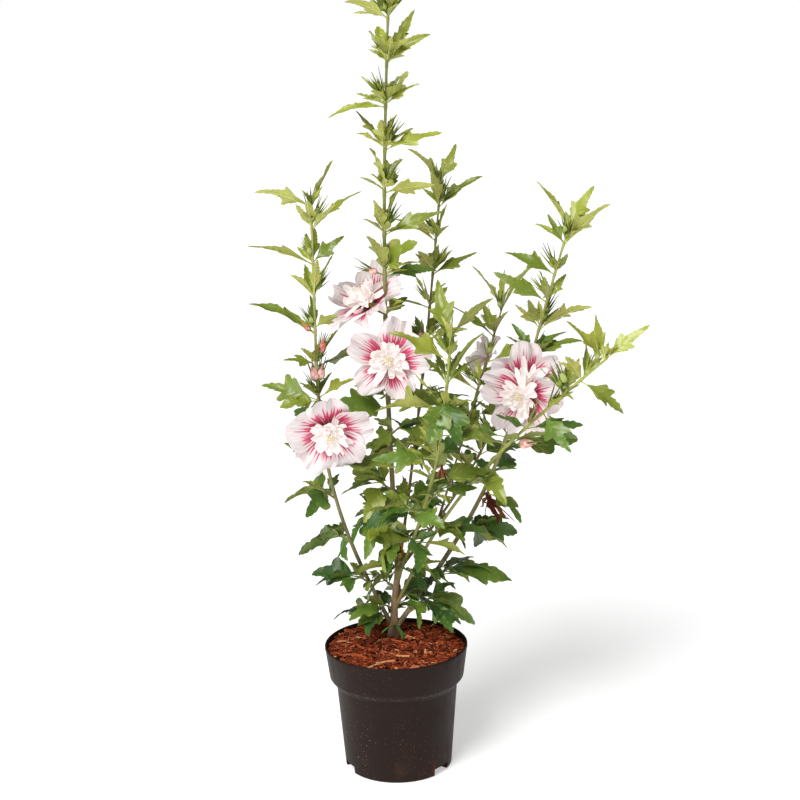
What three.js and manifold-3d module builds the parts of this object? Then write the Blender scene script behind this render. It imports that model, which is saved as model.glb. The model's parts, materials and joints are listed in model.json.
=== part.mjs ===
// A potted hibiscus shrub: a nursery pot full of bark-topped soil, a short woody trunk, eight long
// shoots that fork from it, and the leaves, buds and double blooms that each shoot carries. Millimetres,
// +Z up. The origin is the middle of the pot's flat underside; -Y is the shrub's front.
import * as THREE from 'three';
import { mergeVertices } from 'three/addons/utils/BufferGeometryUtils.js';
import Module from 'manifold-3d';

const wasm = await Module();
wasm.setup();

// ---------- driving dimensions ----------

// The pot: a 19 cm container with a deep collar and three drainage channels under its edge.
const POT_HEIGHT = 168;
const RIM_RADIUS = 95;
const COLLAR_FOOT_RADIUS = 89.5;
const COLLAR_DEPTH = 43;
const NECK_RADIUS = 81;
const NECK_DEPTH = 53;
const BASE_RADIUS = 71.5;
const POT_WALL = 1.6;
const POT_FLOOR = 2.4;
const POT_SIDES = 36;
const CHANNEL = { count: 3, first: -37, width: 29, height: 10, inward: 20 };

// The soil, heaped a little towards the trunk.
const SOIL_BELOW_RIM = 7;
const SOIL_HEAP = 6;
const SOIL_RINGS = 4;
const SOIL_SIDES = 18;
const SOIL_ROUGHNESS = 1.6;
const SOIL_FLAT_RADIUS = 16;

// The gap that is kept between one solid and the next, and the least that faceting may leave of it.
const CLEARANCE = 0.3;
const LEAST_GAP = 0.24;
// Edges shorter than this, left where leaves cross one another, are closed up.
const SLIVER = 0.02;

// The trunk, from its flat cut on the soil to the old pruning cut at its tip.
const GROUND = POT_HEIGHT - SOIL_BELOW_RIM + SOIL_HEAP;
const TRUNK = {
  foot: [-3, 25], bearing: -20, reach: 13, rise: 116, bow: -3, radius: [4.9, 4.1],
  flare: 5.5, flareHeight: 14,
};

// The shoots. Bearings are in degrees in plan, 0 towards +X and 90 towards +Y; reach and rise take the
// foot to the tip, bow is how far the middle of the shoot bulges outwards, and sway how far its lower
// half leans out and its upper half back in. forkAt is the fork's height on the parent. leafyFrom,
// firstLeaf and gap are lengths along the shoot; leaves holds one clock hour for each leaf node, seen
// from above with 12 at the back and 6 at the front, or the hour and how many degrees the leaf hangs;
// crest holds the hours of the leaves at the tip, and size is how much longer than usual the shoot's
// leaves are.
const SHOOTS = [
  {
    name: 'leader', parent: 'trunk', forkAt: 256, bearing: 2, reach: 8, rise: 796, bow: -12,
    radius: [3.7, 1.2], leafyFrom: 228, firstLeaf: 240, gap: 53.5,
    leaves: [3, 12, 8.5, 2.5, 3, 3.5, 2.5, [9, 20], [3, -18], 9, 4], crest: [9, 3, 12], size: 1.08,
  },
  {
    name: 'left', parent: 'trunk', forkAt: 178, bearing: 194, reach: 94, rise: 575, bow: 43, sway: 7,
    radius: [2.9, 1.3], leafyFrom: 238, firstLeaf: 251, gap: 44,
    leaves: [4, 11, 9, 2.8, [9, -10], 3, 9, 2.8], crest: [9.2, 1], size: 1.32,
  },
  {
    name: 'back', parent: 'trunk', forkAt: 270, bearing: 59, reach: 130, rise: 500, bow: 8,
    radius: [2.2, 1.2], leafyFrom: 150, firstLeaf: 165, gap: 45,
    leaves: [8.5, 3, 9, 4, 9, 3, 9.2, 3], crest: [10, 1.5], size: 1.12,
  },
  {
    name: 'front', parent: 'trunk', forkAt: 248, bearing: -58, reach: 137, rise: 350, bow: 28,
    radius: [2.4, 1.4], leafyFrom: 168, firstLeaf: 180, gap: 34,
    leaves: [3, 8.2, 4, 9, [2.6, -22], 10], crest: [2.5, 11], size: 1.22,
  },
  {
    name: 'middle', parent: 'trunk', forkAt: 262, bearing: 22, reach: 155, rise: 205, bow: 14,
    radius: [2.1, 1.2], leafyFrom: 148, firstLeaf: 162, gap: 26,
    leaves: [7, 2, 9.5, 4], crest: [1, 8], size: 1.12,
  },
  {
    name: 'far', parent: 'middle', forkAt: 326, bearing: 40, reach: 121, rise: 272, bow: 0,
    radius: [1.6, 1.1], leafyFrom: 92, firstLeaf: 104, gap: 38,
    leaves: [9, 3, 9.5, 3, 8.5], crest: [10, 12, 2], size: 1.25,
  },
  {
    name: 'low', parent: 'trunk', forkAt: 205, bearing: -26, reach: 296, rise: 363, bow: -38,
    radius: [2.6, 1.4], leafyFrom: 282, firstLeaf: 296, gap: 33,
    leaves: [9.5, 3.4, [5.2, 48], 11, [3.4, 62]], crest: [11.5, 2.7, 9], size: 1.15,
  },
  {
    name: 'right', parent: 'trunk', forkAt: 176, bearing: 12, reach: 247, rise: 534, bow: 40, sway: 8,
    radius: [3.6, 1.3], leafyFrom: 288, firstLeaf: 301, gap: 38,
    leaves: [3.5, 1, 4, 3, 2.8, 9, [9.3, 10], 2.8], crest: [10, 2], size: 1.24,
  },
];

// Short leafy twigs on the bare lower part of the trunk and the shoots: the height of the twig's foot,
// the clock hour that it points to, its length, its number of leaves and, where they are small, their
// size.
const SPRAYS = [
  { on: 'trunk', at: 180, hour: 5.2, twig: 8, leaves: 2, size: 0.5 },
  { on: 'trunk', at: 186, hour: 9, twig: 30, leaves: 4 },
  { on: 'trunk', at: 198, hour: 12.2, twig: 22, leaves: 4 },
  { on: 'trunk', at: 204, hour: 7.6, twig: 14, leaves: 3 },
  { on: 'trunk', at: 216, hour: 3.6, twig: 20, leaves: 4 },
  { on: 'trunk', at: 236, hour: 9.2, twig: 22, leaves: 5 },
  { on: 'trunk', at: 262, hour: 7, twig: 14, leaves: 4 },
  { on: 'left', at: 246, hour: 8.6, twig: 12, leaves: 3 },
  { on: 'left', at: 304, hour: 8.6, twig: 14, leaves: 4 },
  { on: 'left', at: 366, hour: 9, twig: 18, leaves: 4 },
  { on: 'leader', at: 298, hour: 6.2, twig: 14, leaves: 4 },
  { on: 'leader', at: 322, hour: 9, twig: 22, leaves: 5 },
  { on: 'leader', at: 346, hour: 3, twig: 20, leaves: 4 },
  { on: 'leader', at: 372, hour: 8.8, twig: 16, leaves: 4 },
  { on: 'leader', at: 412, hour: 3, twig: 18, leaves: 4 },
  { on: 'leader', at: 446, hour: 4.5, twig: 16, leaves: 3 },
  { on: 'back', at: 336, hour: 12, twig: 26, leaves: 5 },
  { on: 'back', at: 396, hour: 10.5, twig: 24, leaves: 4 },
  { on: 'front', at: 306, hour: 5.5, twig: 14, leaves: 4 },
  { on: 'front', at: 352, hour: 7.5, twig: 18, leaves: 4 },
  { on: 'front', at: 374, hour: 3, twig: 14, leaves: 3 },
  { on: 'middle', at: 318, hour: 5, twig: 14, leaves: 4 },
  { on: 'middle', at: 352, hour: 12, twig: 24, leaves: 4 },
  { on: 'low', at: 262, hour: 5, twig: 16, leaves: 4 },
  { on: 'low', at: 320, hour: 9.5, twig: 14, leaves: 4 },
  { on: 'low', at: 398, hour: 5, twig: 10, leaves: 2, flower: 'bud' },
  { on: 'right', at: 196, hour: 3.6, twig: 40, leaves: 4 },
  { on: 'right', at: 236, hour: 3.1, twig: 36, leaves: 5 },
  { on: 'right', at: 300, hour: 3, twig: 14, leaves: 3 },
  { on: 'right', at: 352, hour: 4.4, twig: 8, leaves: 1, flower: 'wilted' },
  { on: 'right', at: 376, hour: 12, twig: 16, leaves: 3 },
];

// The double blooms: the shoot and the length along it where the stalk leaves, the point of the throat,
// the bearing and the height angle that the open face looks to, the turn of its petals, and its size.
const BLOOMS = [
  { on: 'leader', along: 352, throat: [-30, 34, 628], faces: -150, lifts: 46, turn: 20, size: 1 },
  { on: 'leader', along: 274, throat: [0, -14, 553], faces: -92, lifts: 12, turn: 4, size: 1 },
  { on: 'left', along: 246, throat: [-77, -50, 468], faces: -84, lifts: -8, turn: 30, size: 0.96 },
  { on: 'right', along: 330, throat: [160, 4, 492], faces: -124, lifts: -10, turn: 14, size: 0.96 },
  { on: 'right', along: 352, throat: [180, 36, 511], faces: -76, lifts: 16, turn: 40, size: 0.9 },
  { on: 'far', along: 172, throat: [112, 128, 528], faces: 140, lifts: 30, turn: 0, size: 0.6 },
];
const PETAL = { count: 5, length: 57, notch: 0.66, cup: 9, wave: 4 };
const FUNNEL = 15;
const POMPON = { points: 7, radius: 25, depth: 15 };

// Leaves, buds and their bracts.
const LEAF_LENGTH = 80;
const LEAF_WIDTH = 0.48;
const LEAF_THICK = 1.2;
const PETIOLE_WIDTH = 1.8;
const SMALL_LEAF = 0.4;
const TWIG = { lift: 38, rooted: 5, radius: [1.6, 1.2] };
const BUD = { stalk: 10, radius: 3.4, tip: 25, bracts: 4, bractReach: 9, bractTip: 19 };
const WILTED = { length: 34, radius: 6 };

const GREEN = new THREE.MeshStandardMaterial({ color: 0x4f7a2e, roughness: 0.6 });
const BARK = new THREE.MeshStandardMaterial({ color: 0x8a7a58, roughness: 0.8 });
const SHOOT_BARK = new THREE.MeshStandardMaterial({ color: 0x8b9150, roughness: 0.7 });
const POT_PLASTIC = new THREE.MeshStandardMaterial({ color: 0x322b28, roughness: 0.5 });
const SOIL = new THREE.MeshStandardMaterial({ color: 0x70361c, roughness: 0.95 });

// ---------- small tools ----------

const radians = THREE.MathUtils.degToRad;
const vec = (x, y, z) => new THREE.Vector3(x, y, z);

// A clock hour seen from above, as a bearing in degrees: 3 is +X, 12 is +Y.
const hourBearing = (hour) => 90 - hour * 30;

const heading = (bearing, lift = 0) => vec(
  Math.cos(radians(bearing)) * Math.cos(radians(lift)),
  Math.sin(radians(bearing)) * Math.cos(radians(lift)),
  Math.sin(radians(lift)),
);

// Seeded draws between 0 and 1, the same on every run.
function draws(seed) {
  let state = seed >>> 0;
  return () => {
    state = (state + 0x6d2b79f5) >>> 0;
    let mixed = Math.imul(state ^ (state >>> 15), 1 | state);
    mixed = (mixed + Math.imul(mixed ^ (mixed >>> 7), 61 | mixed)) ^ mixed;
    return ((mixed ^ (mixed >>> 14)) >>> 0) / 4294967296;
  };
}

// A three.js geometry as a solid that can be joined and cut.
function solid(geometry) {
  const bare = geometry.index ? geometry.toNonIndexed() : geometry.clone();
  bare.deleteAttribute('normal');
  bare.deleteAttribute('uv');
  const merged = mergeVertices(bare, 1e-4);
  const index = merged.index.array;
  const triangles = [];
  for (let i = 0; i < index.length; i += 3) {
    const [a, b, c] = [index[i], index[i + 1], index[i + 2]];
    if (a !== b && b !== c && c !== a) triangles.push(a, b, c);
  }
  return new wasm.Manifold(new wasm.Mesh({
    numProp: 3,
    vertProperties: new Float32Array(merged.attributes.position.array),
    triVerts: new Uint32Array(triangles),
  }));
}

function meshOf(name, made, material) {
  const { numProp, numVert, vertProperties, triVerts } = made.getMesh();
  const position = new Float32Array(numVert * 3);
  for (let i = 0; i < numVert; i += 1) {
    position.set(vertProperties.subarray(i * numProp, i * numProp + 3), i * 3);
  }
  const geometry = new THREE.BufferGeometry();
  geometry.setAttribute('position', new THREE.BufferAttribute(position, 3));
  geometry.setIndex(new THREE.BufferAttribute(new Uint32Array(triVerts), 1));
  geometry.computeVertexNormals();
  const mesh = new THREE.Mesh(geometry, material);
  mesh.name = name;
  return mesh;
}

const union = (pieces) => pieces.reduce((whole, piece) => whole.add(piece));

// The largest body of a solid, without the loose scraps and the sealed hollows that a cut or a join may
// have left.
function largest(made) {
  return made.decompose().reduce((best, body) => (body.volume() > best.volume() ? body : best));
}

// Moves each vertex of a geometry by a function of its place.
function reshape(geometry, place) {
  const position = geometry.attributes.position;
  const point = new THREE.Vector3();
  for (let i = 0; i < position.count; i += 1) {
    point.fromBufferAttribute(position, i);
    const moved = place(point);
    position.setXYZ(i, moved.x, moved.y, moved.z);
  }
  return geometry;
}

// ---------- pot and soil ----------

function turned(profile, sides) {
  const points = profile.map(([radius, height]) => new THREE.Vector2(radius, height));
  return new THREE.LatheGeometry(points, sides).rotateX(Math.PI / 2);
}

function potOutline(inset, floor, top) {
  return [
    [0, floor],
    [BASE_RADIUS - inset, floor],
    [NECK_RADIUS - inset, POT_HEIGHT - NECK_DEPTH + inset * 0.4],
    [COLLAR_FOOT_RADIUS - inset, POT_HEIGHT - COLLAR_DEPTH + inset * 0.4],
    [RIM_RADIUS - inset, top],
    [0, top],
  ];
}

// The three channels under the pot's edge, grown on the inner sides by grow.
function channels(grow) {
  const length = CHANNEL.inward + grow + 30;
  const boxes = [];
  for (let i = 0; i < CHANNEL.count; i += 1) {
    const box = new THREE.BoxGeometry(length, CHANNEL.width + 2 * grow, 2 * (CHANNEL.height + grow));
    box.translate(BASE_RADIUS - CHANNEL.inward - grow + length / 2, 0, 0);
    box.rotateZ(radians(CHANNEL.first + (360 / CHANNEL.count) * i));
    boxes.push(solid(box));
  }
  return union(boxes);
}

function makePot() {
  const body = solid(turned(potOutline(0, 0, POT_HEIGHT), POT_SIDES));
  const cavity = solid(turned(potOutline(POT_WALL, POT_FLOOR, POT_HEIGHT + 5), POT_SIDES));
  return body.subtract(channels(0)).subtract(cavity.subtract(channels(POT_WALL)));
}

function soilHeight(x, y) {
  const towardsEdge = Math.min(1, Math.hypot(x, y) / RIM_RADIUS);
  const fromTrunk = Math.hypot(x - TRUNK.foot[0], y - TRUNK.foot[1]);
  const rough = THREE.MathUtils.smoothstep(fromTrunk, SOIL_FLAT_RADIUS, 3 * SOIL_FLAT_RADIUS);
  const lumps = Math.sin(x * 0.19 + 1) * Math.cos(y * 0.23) + 0.5 * Math.sin((x + y) * 0.41);
  return GROUND - SOIL_HEAP * rough * towardsEdge ** 2 + SOIL_ROUGHNESS * rough * (lumps - 0.5);
}

function makeSoil() {
  const inset = POT_WALL + CLEARANCE;
  const top = POT_HEIGHT - SOIL_BELOW_RIM;
  const profile = potOutline(inset, POT_FLOOR + CLEARANCE, top).slice(0, 4);
  const flare = (RIM_RADIUS - COLLAR_FOOT_RADIUS) / COLLAR_DEPTH;
  const edge = COLLAR_FOOT_RADIUS - inset + flare * (COLLAR_DEPTH - 12);
  for (let ring = 0; ring <= SOIL_RINGS; ring += 1) profile.push([edge * (1 - ring / SOIL_RINGS), top]);
  const heap = reshape(turned(profile, SOIL_SIDES), (point) => (point.z < top - 1
    ? point
    : vec(point.x, point.y, soilHeight(point.x, point.y))));
  return solid(heap).subtract(channels(POT_WALL + CLEARANCE));
}

// ---------- limbs ----------

// A shoot's curve: a straight run from foot to tip that bulges outwards in the middle and may sway on
// its way.
class BowedCurve extends THREE.Curve {
  constructor(foot, { bearing, reach, rise, bow, sway = 0 }) {
    super();
    this.foot = foot;
    this.out = heading(bearing);
    this.chord = this.out.clone().multiplyScalar(reach).add(vec(0, 0, rise));
    this.bow = bow;
    this.sway = sway;
  }

  getPoint(t, target = new THREE.Vector3()) {
    const outwards = this.bow * Math.sin(Math.PI * t) + this.sway * Math.sin(2 * Math.PI * t);
    return target.copy(this.foot).addScaledVector(this.chord, t).addScaledVector(this.out, outwards);
  }
}

// A tapering limb along part of a curve: from and to are shares of its length, radiusAt gives the radius
// at a share.
function limb(curve, from, to, radiusAt, sides, steps) {
  const frames = curve.computeFrenetFrames(100);
  const rod = new THREE.CylinderGeometry(1, 1, 1, sides, steps);
  return solid(reshape(rod, (point) => {
    const share = from + (to - from) * (point.y + 0.5);
    const nearest = Math.round(share * 100);
    const radius = radiusAt(share);
    return curve.getPointAt(share)
      .addScaledVector(frames.normals[nearest], point.z * radius)
      .addScaledVector(frames.binormals[nearest], point.x * radius);
  }));
}

const taper = ([foot, tip], grow = 0) => (share) => foot + (tip - foot) * share + grow;

// The share of a curve's length at which it passes a height.
function shareAtHeight(curve, height) {
  let share = 0;
  while (share < 1 && curve.getPointAt(share).z < height) share += 0.002;
  return share;
}

// ---------- leaves, buds and blooms ----------

// A frame that looks along a heading, with its face turned up, then rolled about the heading.
function pose(origin, forward, roll = 0) {
  const along = forward.clone().normalize();
  const side = vec(-along.y, along.x, 0.0001).normalize();
  const up = along.clone().cross(side).normalize();
  side.copy(up).cross(along);
  const matrix = new THREE.Matrix4().makeBasis(along, side, up);
  return new THREE.Matrix4().setPosition(origin).multiply(matrix)
    .multiply(new THREE.Matrix4().makeRotationX(radians(roll)));
}

// A three-lobed leaf from the foot of its stalk to its tip: [share of length, share of half width].
const LEAF_STATIONS = [[0, 0], [0.58, 1], [0.75, 0.36], [1, 0]];

// A leaf is a three-sided bar: its midrib above and its two edges below, which follow the stations and
// arch down.
function leafSolid(foot, bearing, lift, length, roll, arch) {
  const last = LEAF_STATIONS.length - 1;
  const bar = new THREE.CylinderGeometry(1, 1, 1, 3, last);
  reshape(bar, ({ x, y, z }) => {
    const station = Math.round((y + 0.5) * last);
    const [share, width] = LEAF_STATIONS[station];
    const half = station === last ? 0 : (width * LEAF_WIDTH * length + PETIOLE_WIDTH) / 2;
    const ridge = station < last && z > 0.5 ? LEAF_THICK : 0;
    return vec(share * length, -Math.sign(Math.round(x)) * half, ridge - arch * length * share ** 2);
  });
  return solid(bar.applyMatrix4(pose(foot, heading(bearing, lift), roll)));
}

// A ring of points round an upright axis: tips and notches alternate, and the faces run from them to a
// peak above and a root below.
function star({ points, tipRadius, tipHeight, notchRadius, notchHeight, peak, root }) {
  const disc = new THREE.SphereGeometry(1, points * 2, 2).rotateX(Math.PI / 2);
  return reshape(disc, (point) => {
    if (Math.hypot(point.x, point.y) < 0.5) return vec(0, 0, point.z > 0 ? peak : root);
    const turn = Math.atan2(point.y, point.x);
    const isTip = Math.round((turn / Math.PI) * points + 2 * points) % 2 === 0;
    const radius = isTip ? tipRadius : notchRadius;
    return vec(Math.cos(turn) * radius, Math.sin(turn) * radius, isTip ? tipHeight : notchHeight);
  });
}

// Sets an upright form on a point, with its axis along a heading.
function upright(origin, axis) {
  const turn = new THREE.Quaternion().setFromUnitVectors(vec(0, 0, 1), axis);
  return new THREE.Matrix4().compose(origin, turn, vec(1, 1, 1));
}

// A closed bud in its ring of narrow bracts, on a stalk that starts at its foot.
function budSolid(foot, bearing, lift, size) {
  const bud = star({
    points: BUD.bracts,
    tipRadius: BUD.bractReach * size,
    tipHeight: BUD.bractTip * size,
    notchRadius: BUD.radius * size,
    notchHeight: BUD.stalk * size,
    peak: BUD.tip * size,
    root: 0,
  });
  return solid(bud.applyMatrix4(upright(foot, heading(bearing, lift))));
}

// A spent bloom that has shrivelled to a twist and hangs from its stalk.
function wiltedSolid(foot) {
  const twist = star({
    points: 4,
    tipRadius: WILTED.radius,
    tipHeight: -WILTED.length * 0.55,
    notchRadius: WILTED.radius * 0.5,
    notchHeight: -WILTED.length * 0.4,
    peak: 1,
    root: -WILTED.length,
  });
  return solid(twist.translate(...foot.toArray()));
}

// An open bloom: a scalloped funnel of petals, with a tuft of narrow inner petals in its throat.
function bloomSolid(foot, { throat, faces, lifts, turn, size }) {
  const centre = vec(...throat);
  const axis = heading(faces, lifts);
  const facing = upright(centre, axis).multiply(new THREE.Matrix4().makeRotationZ(radians(turn)));
  const base = centre.clone().addScaledVector(axis, -FUNNEL * size * 0.4);
  const perPetal = 5;
  const disc = new THREE.SphereGeometry(1, PETAL.count * perPetal, 2).rotateX(Math.PI / 2);
  const corolla = reshape(disc, (point) => {
    if (Math.hypot(point.x, point.y) < 0.5) return vec(0, 0, point.z > 0 ? 1 : -FUNNEL * size);
    const angle = Math.atan2(point.y, point.x);
    const step = Math.round((angle / (2 * Math.PI) + 1) * PETAL.count * perPetal) % perPetal;
    const share = [PETAL.notch, 0.94, 1, 0.98, 0.92][step];
    const radius = PETAL.length * size * share;
    const height = PETAL.cup * size + (step % 2 ? -1 : 1) * PETAL.wave * size * (step ? 0.5 : 1);
    return vec(Math.cos(angle) * radius, Math.sin(angle) * radius, height);
  });
  const tuft = star({
    points: POMPON.points,
    tipRadius: POMPON.radius * size,
    tipHeight: POMPON.depth * size,
    notchRadius: POMPON.radius * size * 0.5,
    notchHeight: POMPON.depth * size * 0.6,
    peak: POMPON.depth * size * 1.2,
    root: -4 * size,
  });
  const stalk = limb(new THREE.LineCurve3(foot, base), 0, 1, () => 1.2, 4, 1);
  return union([corolla, tuft].map((form) => solid(form.applyMatrix4(facing)))).add(stalk);
}

// ---------- the shrub ----------

const shrub = new THREE.Group();
const limbs = new Map();
const placed = [];

function keep(name, made, material) {
  placed.push({ name, made, box: made.boundingBox() });
  shrub.add(meshOf(name, made, material));
}

const boxesMeet = (a, b) => [0, 1, 2].every((k) => a.min[k] < b.max[k] + 1 && b.min[k] < a.max[k] + 1);

// Whether a piece keeps its distance from everything placed so far but the named ones.
function isClear(piece, but) {
  const box = piece.boundingBox();
  return placed.every(({ name, made, box: other }) => name === but
    || !boxesMeet(box, other)
    || piece.minGap(made, 2 * CLEARANCE) > LEAST_GAP);
}

keep('pot', makePot(), POT_PLASTIC);
keep('soil', makeSoil(), SOIL);

function makeTrunk() {
  const curve = new BowedCurve(vec(...TRUNK.foot, GROUND + CLEARANCE), TRUNK);
  const flared = (grow) => (share) => taper(TRUNK.radius, grow)(share)
    + TRUNK.flare * Math.exp((-share * TRUNK.rise) / TRUNK.flareHeight);
  // Frames turn with the curve, so the foot is cut level at the ground.
  const above = solid(new THREE.BoxGeometry(80, 80, 400).translate(...TRUNK.foot, GROUND + CLEARANCE + 200));
  const rooted = new BowedCurve(curve.foot.clone().add(vec(0, 0, -4)), { ...TRUNK, rise: TRUNK.rise + 4 });
  limbs.set('trunk', { curve, fat: limb(rooted, 0, 1, flared(CLEARANCE), 8, 8) });
  return limb(rooted, 0, 1, flared(0), 8, 8).intersect(above);
}
keep('trunk', makeTrunk(), BARK);

// The bare boughs, each cut clear of its parent and of the boughs before it.
for (const shoot of SHOOTS) {
  const parent = limbs.get(shoot.parent);
  const fork = parent.curve.getPointAt(shareAtHeight(parent.curve, shoot.forkAt));
  const curve = new BowedCurve(fork, shoot);
  const length = curve.getLength();
  const bareShare = shoot.leafyFrom / length;
  const steps = Math.max(3, Math.round(shoot.leafyFrom / 42));
  const bare = limb(curve, 0, bareShare, taper(shoot.radius), 5, steps);
  const fat = limb(curve, 0, bareShare, taper(shoot.radius, CLEARANCE), 5, steps);
  const obstacles = union([...limbs.values()].map((earlier) => earlier.fat));
  limbs.set(shoot.name, { curve, length, fat });
  keep(`bough_${shoot.name}`, largest(bare.subtract(obstacles)), SHOOT_BARK);
}

// The stems that run on through the foliage are set out first, so that no leaf grows across one.
const masses = [];
for (const shoot of SHOOTS) {
  const { curve, length } = limbs.get(shoot.name);
  const from = (shoot.leafyFrom + CLEARANCE) / length;
  const stem = limb(curve, from, 1, taper(shoot.radius), 4, Math.round((length - shoot.leafyFrom) / 50));
  masses.push({ name: `foliage_${shoot.name}`, parts: [stem], shoot });
}
for (const { name, parts } of masses) placed.push({ name, made: parts[0], box: parts[0].boundingBox() });
const allLimbs = union([...limbs.values()].map(({ fat }) => fat));
SPRAYS.forEach((spray, order) => {
  const { curve } = limbs.get(spray.on);
  const foot = curve.getPointAt(shareAtHeight(curve, spray.at));
  const tip = heading(hourBearing(spray.hour), TWIG.lift).multiplyScalar(spray.twig + TWIG.rooted).add(foot);
  const stem = new THREE.LineCurve3(foot, tip);
  const twig = largest(limb(stem, 0, 1, taper(TWIG.radius), 4, 1).subtract(allLimbs));
  const name = `spray_${spray.on}_${order + 1}`;
  if (!isClear(twig, '')) throw new Error(`${name} starts inside another piece`);
  masses.push({ name, parts: [twig], spray, stem });
  placed.push({ name, made: twig, box: twig.boundingBox() });
});

const growInto = (mass, piece) => {
  mass.parts.push(piece);
  placed.push({ name: mass.name, made: piece, box: piece.boundingBox() });
};

// A leaf that meets another mass or a limb is tried again a little to either side, and then left out.
const SWINGS = [0, 22, -22, 44, -44];
function growLeaf(mass, foot, bearing, lift, length, roll, arch) {
  for (const swing of SWINGS) {
    const leaf = leafSolid(foot, bearing + swing, lift, length, roll, arch);
    if (isClear(leaf, mass.name)) {
      growInto(mass, leaf);
      return;
    }
  }
}

for (const bloom of BLOOMS) {
  const { curve, length } = limbs.get(bloom.on);
  const mass = masses.find(({ shoot }) => shoot && shoot.name === bloom.on);
  const flower = bloomSolid(curve.getPointAt(bloom.along / length), bloom);
  if (!isClear(flower, mass.name)) throw new Error(`the bloom at ${bloom.throat} meets another piece`);
  growInto(mass, flower);
}

// Leaves up a shoot: one at each node, a small one across from it, and a bud in its axil on the upper part.
function clotheShoot(mass, seed) {
  const { shoot } = mass;
  const { curve, length } = limbs.get(shoot.name);
  const draw = draws(seed);
  const either = () => (draw() < 0.5 ? -1 : 1);
  shoot.leaves.forEach((leaf, node) => {
    const [hour, hang = 0] = [leaf].flat();
    const height = node / (shoot.leaves.length - 1);
    const along = shoot.firstLeaf + node * shoot.gap;
    const footAt = (further) => curve.getPointAt((along + further) / length);
    const bearing = hourBearing(hour) + (draw() - 0.5) * 16;
    const lift = 6 + 36 * height + (draw() - 0.5) * 24;
    const size = LEAF_LENGTH * shoot.size * (1 - 0.2 * height) * (0.86 + 0.24 * draw());
    growLeaf(mass, footAt(0), bearing, lift - hang, size, either() * (15 + 40 * draw()), 0.12 + 0.2 * draw());
    const across = bearing + 180 + (draw() - 0.5) * 70;
    const smaller = size * (SMALL_LEAF + 0.3 * draw());
    growLeaf(mass, footAt(3), across, lift + 12, smaller, either() * (15 + 45 * draw()), 0.12);
    const budSize = 0.8 + 0.3 * draw();
    const budLift = 50 + 20 * draw();
    if (height > 0.25) {
      const bud = budSolid(footAt(6), bearing + 30, budLift, budSize);
      if (isClear(bud, mass.name)) growInto(mass, bud);
    }
  });
  const tip = curve.getPointAt(0.994);
  shoot.crest.forEach((hour) => {
    const size = LEAF_LENGTH * shoot.size * (0.7 + 0.16 * draw());
    const bearing = hourBearing(hour) + (draw() - 0.5) * 20;
    growLeaf(mass, tip, bearing, 40 + 22 * draw(), size, either() * 40, 0.12);
  });
  const crown = budSolid(curve.getPointAt(0.975), hourBearing(shoot.crest[0]) + 90, 72, 0.8);
  if (isClear(crown, mass.name)) growInto(mass, crown);
}

// Leaves on a short twig: they fan out to either side of it, the last at its tip.
function clotheSpray(mass, seed) {
  const { spray, stem } = mass;
  const draw = draws(seed);
  if (spray.flower) {
    const end = stem.getPoint(0.94);
    const flower = spray.flower === 'bud'
      ? budSolid(end, hourBearing(spray.hour), 10, 1.25)
      : wiltedSolid(end);
    if (isClear(flower, mass.name)) growInto(mass, flower);
  }
  for (let i = 0; i < spray.leaves; i += 1) {
    const share = 0.45 + (0.5 * (i + 1)) / spray.leaves;
    const fan = i === spray.leaves - 1 ? 0 : (i % 2 ? 1 : -1) * (48 + 34 * draw());
    const bearing = hourBearing(spray.hour) + fan;
    const size = LEAF_LENGTH * (spray.size || 1) * (0.82 + 0.32 * draw());
    const lift = -16 + 40 * draw();
    const roll = (draw() < 0.5 ? -1 : 1) * (10 + 45 * draw());
    growLeaf(mass, stem.getPoint(share), bearing, lift, size, roll, 0.2 + 0.25 * draw());
  }
}

masses.forEach((mass, order) => (mass.shoot ? clotheShoot : clotheSpray)(mass, 100 + order));
for (const { name, parts } of masses) {
  shrub.add(meshOf(name, largest(union(parts)).simplify(SLIVER), GREEN));
}

export default shrub;
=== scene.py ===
"""A potted hibiscus shrub, dressed: the bark, the twigs, every leaf and bud, and the double blooms.

All of it grows by the same rule as the solids and is carried finer. The growth is worked out in millimetres,
and every mesh is made in metres.
"""
import json
import math

import bpy
import numpy as np
from mathutils import Matrix, Vector
from mathutils.kdtree import KDTree

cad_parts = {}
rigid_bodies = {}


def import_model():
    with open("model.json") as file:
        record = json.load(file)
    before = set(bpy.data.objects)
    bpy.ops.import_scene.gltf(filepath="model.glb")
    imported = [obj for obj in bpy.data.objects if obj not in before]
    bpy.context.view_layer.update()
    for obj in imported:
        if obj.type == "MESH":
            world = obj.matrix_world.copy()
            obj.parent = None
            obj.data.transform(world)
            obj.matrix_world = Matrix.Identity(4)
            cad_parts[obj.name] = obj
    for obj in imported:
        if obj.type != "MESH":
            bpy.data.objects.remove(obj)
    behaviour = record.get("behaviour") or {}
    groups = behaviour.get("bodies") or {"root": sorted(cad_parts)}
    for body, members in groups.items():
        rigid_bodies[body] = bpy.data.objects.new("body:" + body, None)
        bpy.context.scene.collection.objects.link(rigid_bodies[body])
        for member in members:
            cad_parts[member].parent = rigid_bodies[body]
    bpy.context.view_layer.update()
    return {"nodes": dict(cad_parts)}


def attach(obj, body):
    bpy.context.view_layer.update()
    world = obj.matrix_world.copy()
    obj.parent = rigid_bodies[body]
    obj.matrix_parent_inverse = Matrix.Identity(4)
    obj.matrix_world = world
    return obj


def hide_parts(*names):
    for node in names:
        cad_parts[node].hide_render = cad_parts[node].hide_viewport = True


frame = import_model()

MM = 0.001
FULL_TURN = 2 * math.pi
ROUGH_TURN = 6.28  # a full turn as the phases of waves have it

# ---------- named sizes, in millimetres ----------

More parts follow.
